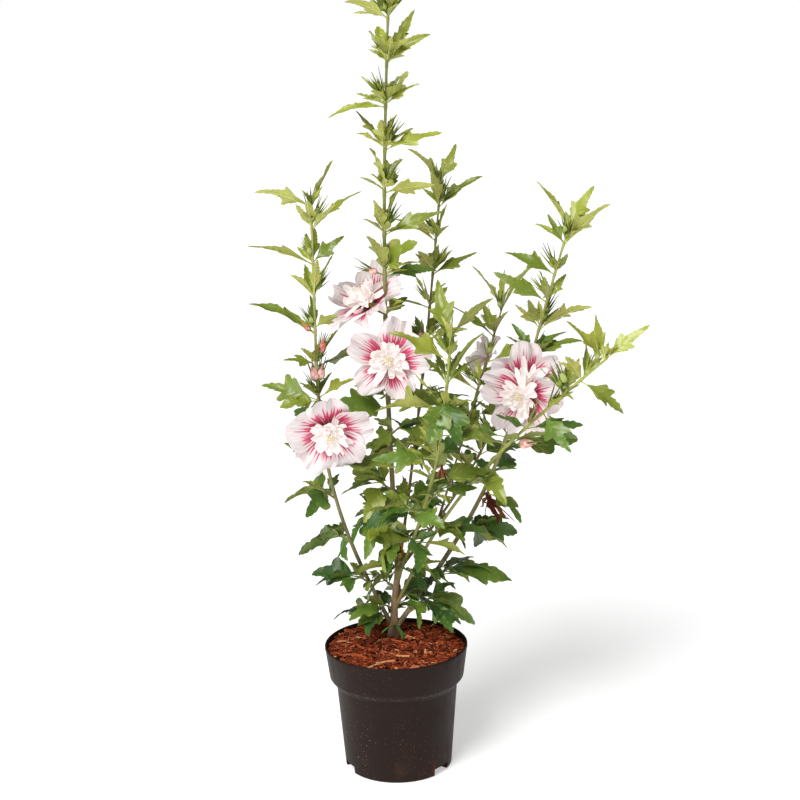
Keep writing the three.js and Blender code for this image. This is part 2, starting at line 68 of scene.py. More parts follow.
POT_HEIGHT = 168
RIM_RADIUS = 95
COLLAR_FOOT_RADIUS = 89.5
COLLAR_DEPTH = 43
NECK_RADIUS = 81
NECK_DEPTH = 53
BASE_RADIUS = 71.5
POT_WALL = 1.6
POT_FLOOR = 2.4
CHANNEL = dict(count=3, first=-37, width=29, height=10, inward=20)

SOIL_BELOW_RIM = 7
SOIL_HEAP = 6
SOIL_ROUGHNESS = 1.6
SOIL_FLAT_RADIUS = 16
CHIPS = 5200

CLEARANCE = 0.3
GROUND = POT_HEIGHT - SOIL_BELOW_RIM + SOIL_HEAP
TRUNK = dict(foot=(-3, 25), bearing=-20, reach=13, rise=116, bow=-3, radius=(4.9, 4.1), flare=5.5,
             flare_height=14)
# Thick places on the trunk: how much they add to its radius, and how far up.
TRUNK_KNOTS = ((0.9, 0.42), (0.8, 0.78))

# Bearings are in degrees in plan, 0 towards +X and 90 towards +Y. Leaves and crest hold clock hours seen from
# above, or an hour and by how many degrees that leaf hangs. Size is how much longer than usual the shoot's
# leaves are, and lowered is by how many degrees the first leaf of its crest sinks.
SHOOTS = [
    dict(name="leader", parent="trunk", fork=256, bearing=2, reach=8, rise=796, bow=-12, radius=(3.7, 1.2),
         first=240, gap=53.5, leaves=(3, 12, 8.5, 2.5, 3, 3.5, 2.5, (9, 20), (3, -18), 9, 4),
         crest=(9, 3, 12), size=1.08),
    dict(name="left", parent="trunk", fork=178, bearing=194, reach=94, rise=575, bow=43, sway=7,
         radius=(2.9, 1.3), first=251, gap=44, leaves=(4, 11, 9, 2.8, (9, -10), 3, 9, 2.8), crest=(9.2, 1),
         lowered=28, size=1.32),
    dict(name="back", parent="trunk", fork=270, bearing=59, reach=130, rise=500, bow=8, radius=(2.2, 1.2),
         first=165, gap=45, leaves=(8.5, 3, 9, 4, 9, 3, 9.2, 3), crest=(10, 1.5), size=1.12),
    dict(name="front", parent="trunk", fork=248, bearing=-58, reach=137, rise=350, bow=28, radius=(2.4, 1.4),
         first=180, gap=34, leaves=(3, 8.2, 4, 9, (2.6, -22), 10), crest=(2.5, 11), size=1.22),
    dict(name="middle", parent="trunk", fork=262, bearing=22, reach=155, rise=205, bow=14, radius=(2.1, 1.2),
         first=162, gap=26, leaves=(7, 2, 9.5, 4), crest=(1, 8), size=1.12),
    dict(name="far", parent="middle", fork=326, bearing=40, reach=121, rise=272, bow=0, radius=(1.6, 1.1),
         first=104, gap=38, leaves=(9, 3, 9.5, 3, 8.5), crest=(10, 12, 2), size=1.25),
    dict(name="low", parent="trunk", fork=205, bearing=-26, reach=296, rise=363, bow=-38, radius=(2.6, 1.4),
         first=296, gap=33, leaves=(9.5, 3.4, (5.2, 48), 11, (3.4, 62)), crest=(11.5, 2.7, 9), size=1.15),
    dict(name="right", parent="trunk", fork=176, bearing=12, reach=247, rise=534, bow=40, sway=8,
         radius=(3.6, 1.3), first=301, gap=38, leaves=(3.5, 1, 4, 3, 2.8, 9, (9.3, 10), 2.8), crest=(10, 2),
         size=1.24),
]

# The bark of each shoot that isn't brown.
SHOOT_BARKS = dict(left="olive", right="olive", front="green", low="green")

# Short leafy twigs: what they grow on, the height of the foot, clock hour, length and leaves, and for some
# the leaves' size and a flower.
SPRAYS = [
    ("trunk", 180, 5.2, 8, 2, 0.5), ("trunk", 186, 9, 30, 4), ("trunk", 198, 12.2, 22, 4),
    ("trunk", 204, 7.6, 14, 3), ("trunk", 216, 3.6, 20, 4), ("trunk", 236, 9.2, 22, 5),
    ("trunk", 262, 7, 14, 4),
    ("left", 246, 8.6, 12, 3), ("left", 304, 8.6, 14, 4), ("left", 366, 9, 18, 4),
    ("leader", 298, 6.2, 14, 4), ("leader", 322, 9, 22, 5), ("leader", 346, 3, 20, 4),
    ("leader", 372, 8.8, 16, 4), ("leader", 412, 3, 18, 4), ("leader", 446, 4.5, 16, 3),
    ("back", 336, 12, 26, 5), ("back", 396, 10.5, 24, 4),
    ("front", 306, 5.5, 14, 4), ("front", 352, 7.5, 18, 4), ("front", 374, 3, 14, 3),
    ("middle", 318, 5, 14, 4), ("middle", 352, 12, 24, 4),
    ("low", 262, 5, 16, 4), ("low", 320, 9.5, 14, 4), ("low", 398, 5, 10, 2, 1, "bud"),
    ("right", 196, 3.6, 40, 4), ("right", 236, 3.1, 36, 5), ("right", 300, 3, 14, 3),
    ("right", 352, 4.4, 8, 1, 1, "wilted"), ("right", 376, 12, 16, 3),
]

# The blooms: where each one's stalk leaves its shoot, where its throat is and which way it faces. Breadth
# below 1 leaves gaps between the petals, a lost petal is counted from 0, and pale is how far on in its
# streaks a petal starts.
BLOOMS = [
    dict(on="leader", along=352, throat=(-30, 34, 628), faces=-140, lifts=50, turn=-14, size=1, breadth=1.06),
    dict(on="leader", along=274, throat=(0, -14, 553), faces=-92, lifts=12, turn=4, size=1, breadth=0.92),
    dict(on="left", along=246, throat=(-77, -50, 468), faces=-84, lifts=-15, turn=30, size=0.96,
         breadth=1.26),
    dict(on="right", along=330, throat=(170, 4, 500), faces=-120, lifts=-3, turn=-12, size=0.98, breadth=1.04,
         lost=1),
    dict(on="right", along=352, throat=(180, 36, 511), faces=-80, lifts=14, turn=28, size=0.96, breadth=1.12),
    dict(on="far", along=172, throat=(128, 128, 532), faces=140, lifts=30, turn=0, size=0.58, breadth=0.9,
         pale=0.5),
]
# Leaves that stand before the blooms or hang low: the shoot, the length along it, clock hour, lift, length,
# roll, arch and how far up the crown their green belongs.
SINGLE_LEAVES = [
    ("leader", 228, 7.3, 20, 104, -56, 0.28, 0.2), ("left", 338, 8.2, 6, 54, -45, 0.35, 0.4),
    ("front", 348, 9, 34, 84, -32, 0.1, 0.95), ("right", 62, 3.4, -20, 92, 52, 0.3, 0.0),
    ("right", 106, 3.2, 2, 106, 30, 0.24, 0.0), ("leader", 668, 2.2, 56, 80, 24, 0.05, 1.1),
    ("leader", 412, 4.4, 40, 64, 52, 0.1, 0.7), ("left", 30, 7.4, 2, 50, -44, 0.2, 0.1),
    ("leader", 96, 6.3, -48, 80, 8, 0.12, 0.1), ("front", 300, 7, -44, 66, -30, 0.1, 0.25),
    ("front", 302, 5.5, -52, 68, 14, 0.1, 0.3),
]
BROAD_BELOW = 70
# Large buds: the shoot, the length along it, the clock hour and the lift that they point to, size and colour.
LARGE_BUDS = [
    ("left", 350, 9.4, 80, 1.5, "pink"), ("left", 353, 2, 76, 1.35, "pink"),
    ("left", 390, 3, 68, 1.3, "peach"), ("left", 424, 9, 44, 0.95, "peach"),
    ("leader", 402, 9, 22, 1.1, "pink"), ("right", 470, 2, 58, 0.9, "green"),
    ("low", 296, 3.4, 6, 1.5, "pink"), ("low", 408, 10, 64, 1.1, "green"), ("back", 300, 8, 50, 0.9, "pink"),
]
SPENT_BLOOM = dict(on="front", along=200, hour=3.4, lift=20, stalk=9, size=0.6)
PETAL_COUNT = 5
PETAL_LENGTH = 58
FUNNEL = 15
TUFT_DEPTH = 15
# The space before a bloom's face that leaves keep out of, and how steeply the trunk's foot is looked down on.
FACE_RADIUS = 46
FACE_DEPTH = 60
SIGHT_SLOPE = 0.35

LEAF_LENGTH = 80
LEAF_WIDTH = 0.48
SMALL_LEAF = 0.4
LOW_LEAF = 0.84
STALK_SHARE = 0.2
TWIG_LIFT = 38
TWIG_ROOTED = 5
TWIG_RADII = (1.6, 1.1)
SPENT_STALK_RADII = (1.3, 1.1)
# By how many degrees a leaf may be swung aside to meet its solid, and how near its tip must come to a corner.
SWINGS = (0, 22, -22, 44, -44)
NEAR_CORNER = 1.2
BUD = dict(radius=4.3, tip=25)
# The first seeds of the draws. Shoots with their twigs, pieces of leaves and blooms count on from theirs.
SEEDS = dict(shoots=100, extra=500, leaves=900, buds=4100, wilted=4200, stub=4300, blooms=6000, mulch=7000)
# The angles in degrees under which faces are smoothed into one another.
SMOOTH = dict(leaves=58, small=45, blooms=60, bark=55, pot=32)
# The share of a shoot's leafy length above which it carries buds in its axils, and small buds beside them.
BUDS_ABOVE = 0.25
SMALL_BUDS_ABOVE = 0.2


# ---------- the growth rule ----------

def draws(seed):
    """Seeded draws between 0 and 1, the same on every run."""
    state = [seed]

    def product(a, b):
        return (a * b) & 0xFFFFFFFF

    def draw():
        state[0] = (state[0] + 0x6D2B79F5) & 0xFFFFFFFF
        mixed = product(state[0] ^ (state[0] >> 15), 1 | state[0])
        mixed = ((mixed + product(mixed ^ (mixed >> 7), 61 | mixed)) & 0xFFFFFFFF) ^ mixed
        return ((mixed ^ (mixed >> 14)) & 0xFFFFFFFF) / 4294967296
    return draw


def spread(draw, span):
    """A draw that falls evenly to either side of nothing, over a span."""
    return (draw() - 0.5) * span


def either(draw):
    return -1 if draw() < 0.5 else 1


def hour_bearing(hour):
    return 90 - hour * 30


def heading(bearing, lift=0.0):
    b, l = math.radians(bearing), math.radians(lift)
    return np.array([math.cos(b) * math.cos(l), math.sin(b) * math.cos(l), math.sin(l)])


class BowedCurve:
    """A straight run from foot to tip that bulges outwards in the middle and may sway on its way."""

    def __init__(self, foot, bearing, reach, rise, bow, sway=0):
        self.foot = np.array(foot, float)
        self.out = heading(bearing)
        self.chord = self.out * reach + np.array([0, 0, rise])
        self.bow = bow
        self.sway = sway
        self.t = np.linspace(0, 1, 201)
        points = np.array([self.point(t) for t in self.t])
        self.travel = np.concatenate([[0], np.cumsum(np.linalg.norm(np.diff(points, axis=0), axis=1))])
        self.length = self.travel[-1]

    def point(self, t):
        outwards = self.bow * math.sin(math.pi * t) + self.sway * math.sin(2 * math.pi * t)
        return self.foot + self.chord * t + self.out * outwards

    def at(self, share):
        return self.point(np.interp(share * self.length, self.travel, self.t))

    def at_length(self, along):
        return self.at(along / self.length)

    def share_at_height(self, height):
        share = 0
        while share < 1 and self.at(share)[2] < height:
            share += 0.002
        return share


def pose(forward, roll):
    """The columns along, across and up of a frame that looks along a heading, rolled about it."""
    along = forward / np.linalg.norm(forward)
    side = np.array([-along[1], along[0], 0.0001])
    side /= np.linalg.norm(side)
    up = np.cross(along, side)
    up /= np.linalg.norm(up)
    side = np.cross(up, along)
    c, s = math.cos(math.radians(roll)), math.sin(math.radians(roll))
    return np.column_stack([along, side * c + up * s, up * c - side * s])


def node_trees():
    """For each mass of foliage, its solid's corners in millimetres, to be searched by place."""
    trees = {}
    for name, node in frame["nodes"].items():
        if name.startswith(("foliage_", "spray_")):
            tree = KDTree(len(node.data.vertices))
            for i, corner in enumerate(node.data.vertices):
                tree.insert(node.matrix_world @ corner.co / MM, i)
            tree.balance()
            trees[name] = tree
    return trees


TREES = node_trees()
leaves = []
buds = []
twigs = []
wilted = []


def has_corner(mass, point):
    return TREES[mass].find(Vector(point))[2] < NEAR_CORNER


def add_leaf(mass, foot, bearing, lift, length, roll, arch, zone, broad=False):
    leaves.append(dict(mass=mass, foot=foot, bearing=bearing, lift=lift, length=length, roll=roll, arch=arch,
                       zone=zone, broad=broad))


def add_bud(mass, foot, size, bearing, lift, zone, kind="green"):
    buds.append(dict(mass=mass, foot=foot, size=size, axis=heading(bearing, lift), zone=zone, kind=kind))


def place_leaf(mass, foot, bearing, lift, length, roll, arch, zone):
    """Keeps a leaf where the solid has it: in its own place, swung aside, or not at all."""
    for aside in SWINGS:
        turned = pose(heading(bearing + aside, lift), roll)
        tip = foot + turned @ np.array([length, 0, -arch * length])
        if has_corner(mass, tip):
            drawn = length * (LOW_LEAF if mass.startswith("spray_") else 1)
            add_leaf(mass, foot, bearing + aside, lift, drawn, roll, arch, zone)
            return True
    return False


def hides_bloom(point):
    """Whether a point lies close before a bloom's face, where the bloom has pushed the leaves aside."""
    for bloom in BLOOMS:
        away = point - np.array(bloom["throat"])
        axis = heading(bloom["faces"], bloom["lifts"])
        before = away.dot(axis)
        if 2 < before < FACE_DEPTH and np.linalg.norm(away - axis * before) < FACE_RADIUS * bloom["size"]:
            return True
    return False


def place_bud(mass, foot, bearing, lift, size, zone, kind="green"):
    if has_corner(mass, foot + heading(bearing, lift) * BUD["tip"] * size):
        add_bud(mass, foot, size, bearing, lift, zone, kind)


def zone_at(height, young=0.0):
    """How far up the crown a height is: about 0 among the lower leaves and 1 among the young tips."""
    return (height - 400) / 330 + young


def clothe_shoot(shoot, curve, seed):
    """Leaves up a shoot: one at each node and a small one across from it, with a bud on the upper part."""
    mass = "foliage_" + shoot["name"]
    draw = draws(seed)
    extra = draws(seed + SEEDS["extra"])
    usual = LEAF_LENGTH * shoot["size"]
    for node, leaf in enumerate(shoot["leaves"]):
        hour, hang = leaf if isinstance(leaf, tuple) else (leaf, 0)
        height = node / (len(shoot["leaves"]) - 1)
        along = shoot["first"] + node * shoot["gap"]

        def foot_at(further):
            return curve.at_length(along + further)
        zone = zone_at(foot_at(0)[2], 0.25 * height)
        bearing = hour_bearing(hour) + spread(draw, 16)
        lift = 6 + 36 * height + spread(draw, 24)
        size = usual * (1 - 0.2 * height) * (0.86 + 0.24 * draw())
        roll = either(draw) * (15 + 40 * draw())
        place_leaf(mass, foot_at(0), bearing, lift - hang, size, roll, 0.12 + 0.2 * draw(), zone)
        across = bearing + 180 + spread(draw, 70)
        smaller = size * (SMALL_LEAF + 0.3 * draw())
        roll = either(draw) * (15 + 45 * draw())
        place_leaf(mass, foot_at(3), across, lift + 12, smaller, roll, 0.12, zone)
        bud_size = 0.8 + 0.3 * draw()
        bud_lift = 50 + 20 * draw()
        if height > BUDS_ABOVE:
            place_bud(mass, foot_at(6), bearing + 30, bud_lift, bud_size, zone)
        axil_growth(mass, foot_at, bearing, height, zone, extra)
    tip = curve.at(0.994)
    for order, hour in enumerate(shoot["crest"]):
        size = usual * (0.7 + 0.16 * draw())
        bearing = hour_bearing(hour) + spread(draw, 20)
        lift = 40 + 22 * draw()
        held = place_leaf(mass, tip, bearing, lift, size, either(draw) * 40, 0.12, zone_at(tip[2], 0.4))
        if held and order == 0:
            leaves[-1]["lift"] -= shoot.get("lowered", 0)
    place_bud(mass, curve.at(0.975), hour_bearing(shoot["crest"][0]) + 90, 72, 0.8, 1)
    for _ in range(3):
        add_leaf(mass, tip, 360 * extra(), 52 + 24 * extra(), 20 + 14 * extra(), 20 * extra(), 0.05, 1.3)


def axil_growth(mass, foot_at, bearing, height, zone, extra):
    """Small growth in a leaf's axil, too fine for the solids: young leaves, and buds on the upper part."""
    bushy = mass == "foliage_leader"
    lowest = 12 if bushy else 30
    for _ in range(2 + bushy + (extra() < 0.3 + height)):
        add_leaf(mass, foot_at(2 + 5 * extra()), bearing + spread(extra, 300), lowest + 42 * extra(),
                 (30 + 34 * extra()) * (1 - 0.05 * height), spread(extra, 90), 0.05 + 0.12 * extra(),
                 zone + 0.25)
    if bushy and height > BUDS_ABOVE:
        for i in range(3):
            add_leaf(mass, foot_at(4 + 4 * extra()), bearing + 120 * i + spread(extra, 60), 46 + 30 * extra(),
                     38 + 24 * extra(), spread(extra, 60), 0.04, zone + 0.1, broad=True)
    if height > SMALL_BUDS_ABOVE:
        for _ in range((extra() < 0.7) + (extra() < 0.3) + bushy):
            add_bud(mass, foot_at(4 + 4 * extra()), 0.45 + 0.25 * bushy + 0.3 * extra(),
                    bearing + spread(extra, 170), 42 + 28 * extra(), zone)


def clothe_spray(order, spray, curve, seed):
    """Leaves on a short twig: they fan out to either side of it, the last at its tip."""
    on, at, hour, length, count = spray[:5]
    scale = spray[5] if len(spray) > 5 else 1
    flower = spray[6] if len(spray) > 6 else None
    mass = f"spray_{on}_{order + 1}"
    foot = curve.at(curve.share_at_height(at))
    reach = heading(hour_bearing(hour), TWIG_LIFT) * (length + TWIG_ROOTED)
    twigs.append((foot, foot + reach, *TWIG_RADII))
    draw = draws(seed)
    extra = draws(seed + SEEDS["extra"])
    zone = zone_at(foot[2] + 20)
    if flower == "bud":
        place_bud(mass, foot + reach * 0.94, hour_bearing(hour), 10, 1.25, zone, "pink")
    if flower == "wilted":
        wilted.append((foot + reach * 0.94, 1.3, 0.45))
    for i in range(count):
        share = 0.45 + (0.5 * (i + 1)) / count
        fan = 0 if i == count - 1 else (1 if i % 2 else -1) * (48 + 34 * draw())
        bearing = hour_bearing(hour) + fan
        size = LEAF_LENGTH * scale * (0.82 + 0.32 * draw())
        lift = -16 + 40 * draw()
        roll = either(draw) * (10 + 45 * draw())
        place_leaf(mass, foot + reach * share, bearing, lift, size, roll, 0.2 + 0.25 * draw(), zone)
        add_leaf(mass, foot + reach * (share - 0.1), bearing + spread(extra, 120), 10 + 50 * extra(),
                 (24 + 22 * extra()) * scale ** 0.5, spread(extra, 90), 0.1 + 0.2 * extra(), zone + 0.12)


def hides_trunk(point):
    """Whether a point lies in front of the bare trunk, which shows between the soil and its pruned top."""
    height = point[2] - SIGHT_SLOPE * (TRUNK["foot"][1] - point[1]) - GROUND
    middle = TRUNK["foot"][0] + TRUNK["reach"] * height / TRUNK["rise"]
    return point[1] < 10 and 8 < height < TRUNK["rise"] + 8 and -12 < point[0] - middle < 14


def shows_others(leaf):
    """Whether a leaf leaves the blooms and the trunk in view."""
    along = heading(leaf["bearing"], leaf["lift"])
    for share in (0.4, 0.7, 1.0):
        sunk = leaf["arch"] * leaf["length"] * share ** 2
        point = leaf["foot"] + along * leaf["length"] * share - (0, 0, sunk)
        if hides_bloom(point) or hides_trunk(point):
            return False
    return True


def grow():
    """Grows the trunk and its shoots, and lists every leaf, bud, twig and spent bloom on them."""
    curves = {"trunk": BowedCurve((*TRUNK["foot"], GROUND + CLEARANCE), TRUNK["bearing"], TRUNK["reach"],
                                  TRUNK["rise"], TRUNK["bow"])}
    for shoot in SHOOTS:
        parent = curves[shoot["parent"]]
        fork = parent.at(parent.share_at_height(shoot["fork"]))
        curves[shoot["name"]] = BowedCurve(fork, shoot["bearing"], shoot["reach"], shoot["rise"],
                                           shoot["bow"], shoot.get("sway", 0))
    for order, shoot in enumerate(SHOOTS):
        clothe_shoot(shoot, curves[shoot["name"]], SEEDS["shoots"] + order)
    for order, spray in enumerate(SPRAYS):
        clothe_spray(order, spray, curves[spray[0]], SEEDS["shoots"] + len(SHOOTS) + order)
    leaves[:] = [leaf for leaf in leaves if shows_others(leaf)]
    for on, along, hour, lift, length, roll, arch, zone in SINGLE_LEAVES:
        foot = curves[on].at_length(along)
        add_leaf("foliage_" + on, foot, hour_bearing(hour), lift, length, roll, arch, zone,
                 broad=length < BROAD_BELOW)
    for on, along, hour, lift, size, kind in LARGE_BUDS:
        foot = curves[on].at_length(along)
        add_bud("foliage_" + on, foot, size, hour_bearing(hour), lift, zone_at(foot[2]), kind)
    foot = curves[SPENT_BLOOM["on"]].at_length(SPENT_BLOOM["along"])
    end = foot + heading(hour_bearing(SPENT_BLOOM["hour"]), SPENT_BLOOM["lift"]) * SPENT_BLOOM["stalk"]
    twigs.append((foot, end, *SPENT_STALK_RADII))
    wilted.append((end, SPENT_BLOOM["size"], 0.1))
    return curves


# ---------- shader maths ----------

class Maths:
    """A socket that can be added, multiplied and compared in a Python expression."""

    def __init__(self, finish, socket):
        self.finish = finish
        self.socket = socket

    def _with(self, operation, *others):
        values = [self, *others]
        return self.finish.node("ShaderNodeMath", dict(operation=operation), dict(enumerate(values)))

    def __add__(self, other):
        return self._with("ADD", other)

    def __sub__(self, other):
        return self._with("SUBTRACT", other)

    def __mul__(self, other):
        return self._with("MULTIPLY", other)

    def __pow__(self, other):
        return self._with("POWER", other)

    def __abs__(self):
        return self._with("ABSOLUTE")

    __radd__ = __add__
    __rmul__ = __mul__

    def between(self, low, high):
        """0 below low, 1 above high, and a smooth rise between them."""
        return self.finish.node("ShaderNodeMapRange", dict(interpolation_type="SMOOTHSTEP"),
                                {"Value": self, "From Min": low, "From Max": high})


def linear(colour):
    """A colour that is given as it looks on a screen, 0 to 255, as the shader wants it."""
    values = [c / 255 for c in colour]
    return (*[v / 12.92 if v <= 0.04045 else ((v + 0.055) / 1.055) ** 2.4 for v in values], 1)


class Finish:
    """A material whose nodes are made by one method and whose colours are mixed by another."""

    def __init__(self, name, colour=(128, 128, 128), roughness=0.5, **sockets):
        self.material = bpy.data.materials.new(name)
        self.material.use_nodes = True
        self.tree = self.material.node_tree
        self.surface = next(n for n in self.tree.nodes if n.type == "BSDF_PRINCIPLED")
        self.surface.inputs["Base Color"].default_value = linear(colour)
        self.surface.inputs["Roughness"].default_value = roughness
        self.material.diffuse_color = linear(colour)
        for socket, value in sockets.items():
            self.surface.inputs[socket.replace("_", " ")].default_value = value

    def node(self, kind, settings, inputs, output=0):
        made = self.tree.nodes.new(kind)
        for key, value in settings.items():
            setattr(made, key, value)
        for key, value in inputs.items():
            if isinstance(value, Maths):
                self.tree.links.new(value.socket, made.inputs[key])
            else:
                made.inputs[key].default_value = value
        return Maths(self, made.outputs[output])

    def stretched(self, where, stretch):
        return self.node("ShaderNodeVectorMath", dict(operation="MULTIPLY"), {0: where, 1: stretch})

    def place(self, stretch=(1, 1, 1)):
        """The place on the object, in metres, stretched along its axes."""
        return self.stretched(self.node("ShaderNodeTexCoord", {}, {}, "Object"), stretch)

    def part(self, where, axis):
        """One number of a place: 0 for x, 1 for y and 2 for z."""
        return self.node("ShaderNodeSeparateXYZ", {}, {0: where}, axis)

    def noise(self, where, scale, detail=2.0, rough=0.5):
        return self.node("ShaderNodeTexNoise", {}, {"Vector": where, "Scale": scale, "Detail": detail,
                                                    "Roughness": rough}, "Fac")

    def mix(self, share, first, second):
        """The colour first where share is 0 and second where it is 1."""
        ends = [end if isinstance(end, Maths) else linear(end) for end in (first, second)]
        return self.node("ShaderNodeMix", dict(data_type="RGBA"), {0: share, 6: ends[0], 7: ends[1]}, 2)

    def feed(self, socket, value):
        self.tree.links.new(value.socket, self.surface.inputs[socket])

    def bump(self, height, strength, distance):
        self.feed("Normal", self.node("ShaderNodeBump", {}, {"Height": height, "Strength": strength,
                                                             "Distance": distance}))


def pot_plastic_finish():
    """Black-brown plastic with a haze, scuffs on the ledge, crumbs of soil low down and dust on its left.

    The widths and heights between which these fade are in metres.
    """
    f = Finish("moulded_pot_plastic", roughness=0.55, Specular_IOR_Level=0.1)
    across = f.part(f.place(), 0)
    height = f.part(f.place(), 2)
    broad = f.noise(f.place(), 9, 3)
    drawn = f.noise(f.place((60, 60, 4)), 1.0, 2)
    haze = f.noise(f.place((1, 1, 0.6)), 45, 4).between(0.5, 0.8)
    shade = f.mix(broad * 0.7 + drawn * 0.3, (30, 19, 16), (43, 30, 25))
    shade = f.mix(haze * (0.04 + 0.12 * height.between(0.07, 0.01)), shade, (96, 72, 60))
    ledge = height.between(0.118, 0.122) * height.between(0.128, 0.124)
    scuffs = f.noise(f.place((1, 1, 8)), 240, 3, 0.6).between(0.54, 0.64) * ledge
    shade = f.mix(scuffs * 0.5, shade, (132, 116, 106))
    foot = height.between(0.03, 0.012) * across.between(0.02, 0.05)
    crumbs = f.noise(f.place(), 150, 3, 0.7).between(0.54, 0.62) * foot
    shade = f.mix(crumbs * 0.9, shade, (96, 36, 22))
    specks = f.noise(f.place(), 520, 1).between(0.695, 0.75) * f.noise(f.place(), 14, 2).between(0.34, 0.6)
    dust = specks * (0.3 + across.between(0.02, -0.05)) * (0.4 + height.between(0.12, 0.05))
    f.feed("Base Color", f.mix(dust * 0.6, shade, (150, 130, 114)))
    f.feed("Roughness", 0.46 + 0.2 * haze + 0.1 * drawn)
    f.bump(f.noise(f.place(), 900, 2), 0.12, 0.0004)
    return f.material


def soil_finish():
    f = Finish("damp_soil_and_painted_gap_shade", roughness=0.95)
    grain = f.noise(f.place(), 160, 4, 0.7)
    # Dark browns: in part damp bark soil, in part painted shade in the gaps between the chips.
    f.feed("Base Color", f.mix(grain.between(0.35, 0.65), (38, 15, 8), (92, 40, 21)))
    f.bump(grain, 0.8, 0.002)
    return f.material


def bark_finish(name, low_height, high_height, foot, middle, tip, relief):
    """Bark that runs from one colour at its foot to another at its tip, with a long grain and pale pores."""
    f = Finish(name, roughness=0.75)
    height = f.part(f.place(), 2)
    rise = f.node("ShaderNodeMapRange", {}, {"Value": height, "From Min": low_height * MM,
                                             "From Max": high_height * MM})
    shade = f.mix((rise * 2).between(0.0, 1.0), foot, middle)
    shade = f.mix((rise * 2 - 1).between(0.0, 1.0), shade, tip)
    grain = f.noise(f.place((1, 1, 0.14)), 900, 3, 0.6)
    blotch = f.noise(f.place((1, 1, 0.4)), 120, 2)
    shade = f.mix(grain.between(0.42, 0.7) * 0.45, shade, (84, 66, 48))
    shade = f.mix(blotch.between(0.5, 0.72) * 0.4, shade, (170, 160, 128))
    pores = f.noise(f.place((1, 1, 2.4)), 420, 1).between(0.68, 0.74)
    f.feed("Base Color", f.mix(pores * 0.5, shade, (196, 180, 146)))
    f.bump(grain * 0.7 + blotch * 0.3, relief, 0.0008)
    return f.material


# Light passes a little way through petals; a faint painted glow, an emission, stands for what passes between
# them.
THIN_TISSUE = dict(Subsurface_Weight=0.3, Subsurface_Radius=(1.0, 0.8, 0.8), Subsurface_Scale=0.002)
PETAL_PAINTED_GLOW = 0.05
TUFT_PAINTED_GLOW = 0.12


def petal_finish():
    """Pale tissue with crimson streaks and a blush round them, which thin out from the throat to the rim."""
    f = Finish("streaked_petal", roughness=0.6, Emission_Strength=PETAL_PAINTED_GLOW, **THIN_TISSUE)
    grid = f.node("ShaderNodeUVMap", {}, {})
    across = f.part(grid, 0)
    out = f.part(grid, 1)
    fine = f.stretched(grid, (64, 2.6, 1))
    veins = f.noise(f.stretched(grid, (22, 1.2, 1)), 1.0, 1, 0.4)
    threads = f.noise(fine, 1.0, 1, 0.5)
    off_middle = abs(across - 0.5) * 2
    edge = 0.36 + out.between(0.32, 0.88) * 0.28 + (off_middle ** 2) * 0.1
    crimson = (veins * 0.72 + threads * 0.28 - edge).between(0.0, 0.05)
    blush = (veins * 0.6 + threads * 0.4 - edge + 0.08).between(-0.04, 0.12)
    tissue = f.mix(f.noise(fine, 0.6, 2).between(0.35, 0.7) * 0.6, (236, 227, 225), (218, 199, 202))
    tissue = f.mix(blush * 0.36, tissue, (232, 160, 186))
    red = f.mix(out.between(0.5, 0.2), (208, 38, 98), (158, 6, 52))
    shade = f.mix(crimson * 0.94, tissue, red)
    f.feed("Base Color", shade)
    # Painted glow: the petal colour also shines faintly as an emission.
    f.feed("Emission Color", shade)
    f.bump(threads * 0.6 + veins * 0.4, 0.6, 0.0014)
    return f.material


def tuft_finish():
    """The white of the inner petals, a little pink at their feet."""
    f = Finish("white_tuft", roughness=0.6, Emission_Strength=TUFT_PAINTED_GLOW, **THIN_TISSUE)
    grid = f.node("ShaderNodeUVMap", {}, {})
    out = f.part(grid, 1)
    threads = f.noise(f.stretched(grid, (9, 1.5, 1)), 1.0, 2)
    tissue = f.mix(threads.between(0.35, 0.7), (254, 248, 244), (244, 231, 227))
    tissue = f.mix(out.between(0.4, 0.0) * threads.between(0.35, 0.65) * 0.5, tissue, (232, 150, 170))
    f.feed("Base Color", tissue)
    # Painted glow: the tuft's white also shines as an emission, brightening its shaded inner petals.
    f.feed("Emission Color", tissue)
    return f.material


def calyx_finish():
    f = Finish("bloom_calyx", roughness=0.55)
    mottle = f.noise(f.place(), 260, 2)
    f.feed("Base Color", f.mix(mottle, (98, 120, 50), (140, 158, 84)))
    return f.material


# Greens for leaves, from the deep lower leaves to the young tips: upper side, under side, ribs.
# The darkest greens are in part painted shade deep in the crown, the palest in part painted highlight.
GREENS = [
    ((36, 66, 28), (78, 100, 46), (84, 114, 56)),
    ((56, 92, 38), (102, 120, 54), (110, 138, 66)),
    ((74, 110, 38), (118, 132, 56), (130, 154, 70)),
    ((100, 130, 44), (136, 144, 62), (152, 168, 78)),
    ((118, 138, 46), (148, 152, 66), (168, 178, 86)),
    ((134, 148, 50), (158, 160, 70), (184, 190, 94)),
    ((154, 162, 58), (168, 168, 78), (198, 202, 106)),
    ((170, 180, 66), (178, 182, 90), (208, 212, 120)),
]
GREEN_ROUGHNESS = 0.36
UNDER_SIDE_ROUGHER = 0.16


def green_finishes():
    made = []
    for i, sides in enumerate(GREENS):
        for part, colour in zip(("upper", "under", "rib"), sides):
            rough = GREEN_ROUGHNESS + (UNDER_SIDE_ROUGHER if part == "under" else 0.0)
            made.append(Finish(f"leaf_{part}_{i + 1}", colour, rough, Specular_IOR_Level=0.65).material)
    return made


